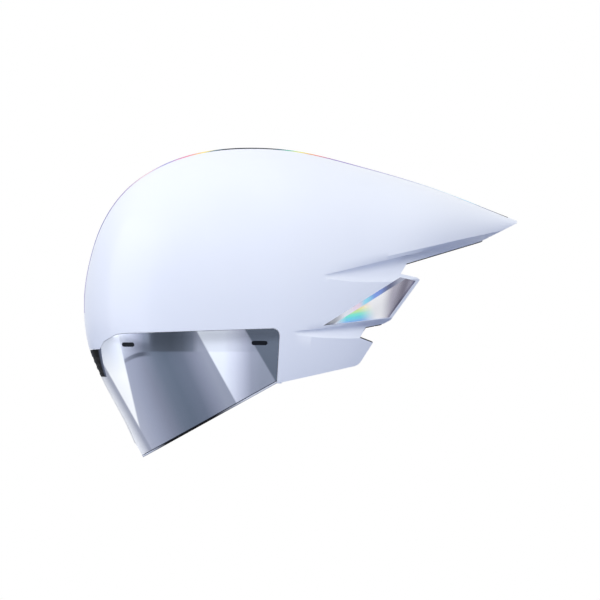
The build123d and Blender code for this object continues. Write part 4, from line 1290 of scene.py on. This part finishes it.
# The head pads' thickness, drawn in by the sine of the way across them where seams are stitched
def padThickness(distance, u, seams=None):
    thick = crowned(distance, padSet["edge"], padSet["shown"] - padSet["hidden"] - padSet["edge"],
                    padSet["rim"])
    if seams is None:
        return thick
    seam = np.abs(np.sin(math.pi * (seams + 1) * u))
    return thick * (padSet["seamThin"] + padSet["seamSwell"] * np.clip(seam * padSet["seamWide"], 0, 1))


# Closed cushion between a hidden face and a shown face given as two grids of points with the same edges
def cushion(name, hidden, shown, node, body="helmet"):
    points = np.concatenate([shown.reshape(-1, 3), hidden.reshape(-1, 3)])
    piece = turnOutwards(solid(name, points * mm, slabFaces(*hidden.shape[:2])))
    finish(piece, body, [node], angle=60)
    return piece


# Distance of each grid point from the rim of a patch of the given sizes, its corners rounded
def rimDistance(u, v, length, width, corner):
    across = np.abs(u - 0.5) * length - (length / 2 - corner)
    along = np.abs(v - 0.5) * width - (width / 2 - corner)
    outside = np.hypot(np.maximum(across, 0), np.maximum(along, 0))
    inside = np.minimum(np.maximum(across, along), 0)
    return corner - outside - inside


# Shares along and across a pad
def padGrid():
    return np.meshgrid(*[np.linspace(0, 1, count) for count in padSet["grid"]], indexing="ij")


# Band round the front of the head space
def makeBrowPad():
    pad = pads["brow"]
    u, v = padGrid()
    reach = math.acos(pad["back"] / (headSpace["length"] - pad["fit"]))
    around = math.pi + (u - 0.5) * 2 * reach
    z = pad["low"] + pad["height"] * v
    distance = rimDistance(u, v, 2 * reach * pad["arc"], pad["height"], pad["corner"])
    shown = headPoint(around, z, padSet["hidden"] + padThickness(distance, u, pad["seams"]))
    return cushion("browPad", headPoint(around, z, padSet["hidden"]), shown, "brow_pad")


# Patch of the dome given by its plan: x and y run over a rectangle and z follows the dome at an inset
def domePoint(x, y, inset):
    length, width = headSpace["length"] - inset, headSpace["width"] - inset
    rest = np.sqrt(np.clip(1 - (x / length) ** 2 - (y / width) ** 2, 0, 1))
    return np.stack([x, y, headSpace["base"] + (headSpace["height"] - inset) * rest], axis=-1)


# Strip along the top of the head space
def makeCrownPad():
    pad = pads["crown"]
    u, v = padGrid()
    x, y = -pad["length"] / 2 + pad["length"] * u, -pad["width"] / 2 + pad["width"] * v
    distance = rimDistance(u, v, pad["length"], pad["width"], pad["corner"])
    shown = domePoint(x, y, padSet["hidden"] + padThickness(distance, u, pad["seams"]))
    return cushion("crownPad", domePoint(x, y, padSet["hidden"]), shown, "crown_pad")


# Patch on one flank of the head space: the half width follows the ellipse at its height
def makeSidePad(name, flank, node):
    pad = pads["side"]
    u, v = padGrid()
    x, z = -pad["length"] / 2 + pad["length"] * u, pad["low"] + pad["height"] * v
    thick = padThickness(rimDistance(u, v, pad["length"], pad["run"], pad["corner"]), u)

    # The flank's surface at an inset
    def flankPoint(inset):
        radius = np.sqrt(1 - ((z - headSpace["base"]) / (headSpace["height"] - inset)) ** 2)
        long, wide = (headSpace["length"] - inset) * radius, (headSpace["width"] - inset) * radius
        return np.stack([x, flank * wide * np.sqrt(1 - (x / long) ** 2), z], axis=-1)

    return cushion(name, flankPoint(padSet["hidden"]), flankPoint(padSet["hidden"] + thick), node)


# Band on the cradle, between two radii about its centre
def makeCradlePad():
    pad = pads["cradle"]
    u, v = padGrid()
    around = np.radians(-pad["angle"] / 2 + pad["angle"] * u)
    z = -pad["height"] / 2 + pad["height"] * v
    distance = rimDistance(u, v, pad["arc"], pad["height"], pad["corner"])
    thick = crowned(distance, pad["edge"], pad["rise"], pad["rim"])

    # Part of a drum of this radius about the cradle's own middle
    def band(radius):
        return np.stack([pad["centre"] + radius * np.cos(around), radius * np.sin(around), z], axis=-1)

    return cushion("cradlePad", band(pad["radius"]), band(pad["radius"] - thick), "cradle_pad", "cradle")


softPads = [makeBrowPad(), makeCrownPad(), makeSidePad("sidePadLeft", -1, "side_pad_left"),
            makeSidePad("sidePadRight", 1, "side_pad_right"), makeCradlePad()]
dress("pad", *softPads)
print("pads made")

strapSet = {
    "width": 15.0,
    "thick": 1.4,
    "fullness": 0.25,      # the smaller, the squarer the section
    "ribs": 9,
    "ribDepth": 0.12,
    "steps": (40, 74),     # rings along each run, and points round a ring
    "runs": (((8.0, 78.2, -8.0), (45.0, 68.8, -26.0)), ((88.0, 68.8, 8.0), (60.0, 68.8, -24.0)),
             ((57.0, 66.3, -29.0), (80.0, 66.3, -21.5))),
}


# Flat webbing between two places: its section is a slim rounded bar, ribbed across, carried along a line
def strapMesh(name, flank):
    points, faces = [], []
    steps, count = strapSet["steps"]
    for start, end in strapSet["runs"]:
        start, end = np.array(start) * (1, flank, 1), np.array(end) * (1, flank, 1)
        line = end - start
        along = line / np.linalg.norm(line)
        facing = np.cross(np.cross(along, (0, 1, 0)), along)
        facing /= np.linalg.norm(facing)
        across = np.cross(facing, along)
        part = np.linspace(0, 1, steps)[:, None, None]
        turn = np.linspace(0, 2 * math.pi, count, endpoint=False)
        wide = np.cos(turn)
        bulge = np.sign(np.sin(turn)) * np.abs(np.sin(turn)) ** strapSet["fullness"]
        rib = 1 - strapSet["ribDepth"] * (0.5 + 0.5 * np.cos(2 * math.pi * strapSet["ribs"] * wide))
        ring = ((wide * strapSet["width"] / 2)[:, None] * across
                + (bulge * rib * strapSet["thick"] / 2)[:, None] * facing)
        run = (start + line * part + ring[None]).reshape(-1, 3)
        base = sum(len(block) for block in points)
        index = np.arange(steps * count).reshape(steps, count) + base
        points.append(run)
        faces += tubeFaces(index) + [index[0][::-1].tolist(), index[-1].tolist()]
    return turnOutwards(solid(name, np.vstack(points) * mm, faces))


straps = [finish(strapMesh("strapLeft", -1), "helmet", ["strap_left"], angle=50),
          finish(strapMesh("strapRight", 1), "helmet", ["strap_right"], angle=50)]
dress("webbing", *straps)
print("straps made")

# CAD nodes that are seen as they are, by their finish
nodeFinishes = {
    "foam": ["foam_liner"],
    "floor": ["tail_floor"],
    "magnet": ["shell_magnets"],
    "nylon": ["fit_rail", "fit_cradle", "dial_housing", "fit_pinion", "belt_left", "belt_right"],
    "dial": ["fit_dial"],
    "buckle": ["strap_anchors", "divider_left", "divider_right", "lever_left", "lever_right",
               "buckle_socket", "buckle_plug"],
    "steel": ["lever_pins", "dial_screw"],
}
for key, nodeNames in nodeFinishes.items():
    for nodeName in nodeNames:
        for slot in nodes[nodeName].material_slots:
            slot.material = materials[key]
print("finishes given to the plain pieces")

# Floor, lamps and surroundings
stageSet = {
    "floor": -0.45,
    "floorSize": 8.0,
    "below": (0.09, 0.145, 0.32),
    "above": (0.71, 0.71, 0.70),
    "bounce": (0.08, 0.125, 0.28),    # what the floor throws back at the object
    "mirrored": (0.90, 0.91, 0.92),   # the floor as the lens and lacquer mirror it
    "shown": (250, 251, 253),         # the floor as the camera sees it, in screen values
}
lamps = {
    "top": {"place": (0.15, -0.2, 1.8), "aim": (0.08, 0, 0.05), "size": 2.0, "power": 4.9},
    "front": {"place": (-1.8, -0.5, 0.5), "aim": (0, 0, 0.03), "size": 1.8, "power": 16.0},
    "camera": {"place": (0.2, -2.2, 0.8), "aim": (0.05, 0, 0.03), "size": 2.4, "power": 26.3},
    "far": {"place": (0.2, 2.2, 0.8), "aim": (0.05, 0, 0.03), "size": 2.4, "power": 20.0},
}
mirroredLamps = ("front",)    # the others don't show in the lens and lacquer


# Square lamp turned to face its aim: tilted by the angle from straight down, then turned about the upright
def addLamp(name, lamp):
    data = bpy.data.lights.new(name, "AREA")
    data.energy = lamp["power"]
    data.size = lamp["size"]
    light = placed(name, data)
    light.visible_glossy = name in mirroredLamps
    light.location = np.array(lamp["place"])
    towards = np.array(lamp["aim"]) - np.array(lamp["place"])
    light.rotation_euler = (math.acos(-towards[2] / np.linalg.norm(towards)), 0,
                            math.atan2(towards[1], towards[0]) - math.pi / 2)


for lampName, lamp in lamps.items():
    addLamp(lampName, lamp)


# Factor that is 1 for rays that should see plain white: camera, glossy and transmitted rays
def whiteBackdrop(tree):
    path = tree.node("ShaderNodeLightPath").outputs
    seen = tree.math("MAXIMUM", path["Is Camera Ray"], path["Is Glossy Ray"])
    return tree.math("MAXIMUM", seen, path["Is Transmission Ray"])


# One of the stage's linear colours, with its alpha
def stageColour(key):
    return (*stageSet[key], 1.0)


# White round the object, while its own light comes from a gradient between two colours, below and above
def makeWorld():
    world = bpy.data.worlds.new("studio")
    world.use_nodes = True
    bpy.context.scene.world = world
    world.node_tree.nodes.clear()
    tree = Tree(world.node_tree)
    upwards = tree.node("ShaderNodeSeparateXYZ", Vector=tree.node("ShaderNodeTexCoord").outputs["Generated"])
    shade = tree.mix(tree.scaled(upwards.outputs[2], -1.0, 1.0), stageColour("below"), stageColour("above"))
    ambient = tree.node("ShaderNodeBackground", Color=shade, Strength=1.0)
    white = tree.node("ShaderNodeBackground", Color=(1.0, 1.0, 1.0, 1.0), Strength=1.0)
    both = tree.node("ShaderNodeMixShader", i0=whiteBackdrop(tree), i1=ambient.outputs[0],
                     i2=white.outputs[0])
    tree.put(tree.node("ShaderNodeOutputWorld").inputs[0], both.outputs[0])


# Pale floor, a square of one face
def makeFloor():
    half = stageSet["floorSize"] / 2
    corners = [(-half, -half), (half, -half), (half, half), (-half, half)]
    mesh = bpy.data.meshes.new("floor")
    mesh.from_pydata([(x, y, stageSet["floor"]) for x, y in corners], [], [(0, 1, 2, 3)])
    floor = placed("floor", mesh)
    tree = Surface("paleFloor", Roughness=0.9, Specular_IOR_Level=0.0)
    shade = tree.mix(whiteBackdrop(tree), stageColour("bounce"), stageSet["shown"])
    glossy = tree.node("ShaderNodeLightPath").outputs["Is Glossy Ray"]
    tree.paint(tree.mix(glossy, shade, stageColour("mirrored")))
    mesh.materials.append(tree.material)


makeWorld()
makeFloor()
bpy.context.scene.view_settings.view_transform = "Standard"
print("stage set")
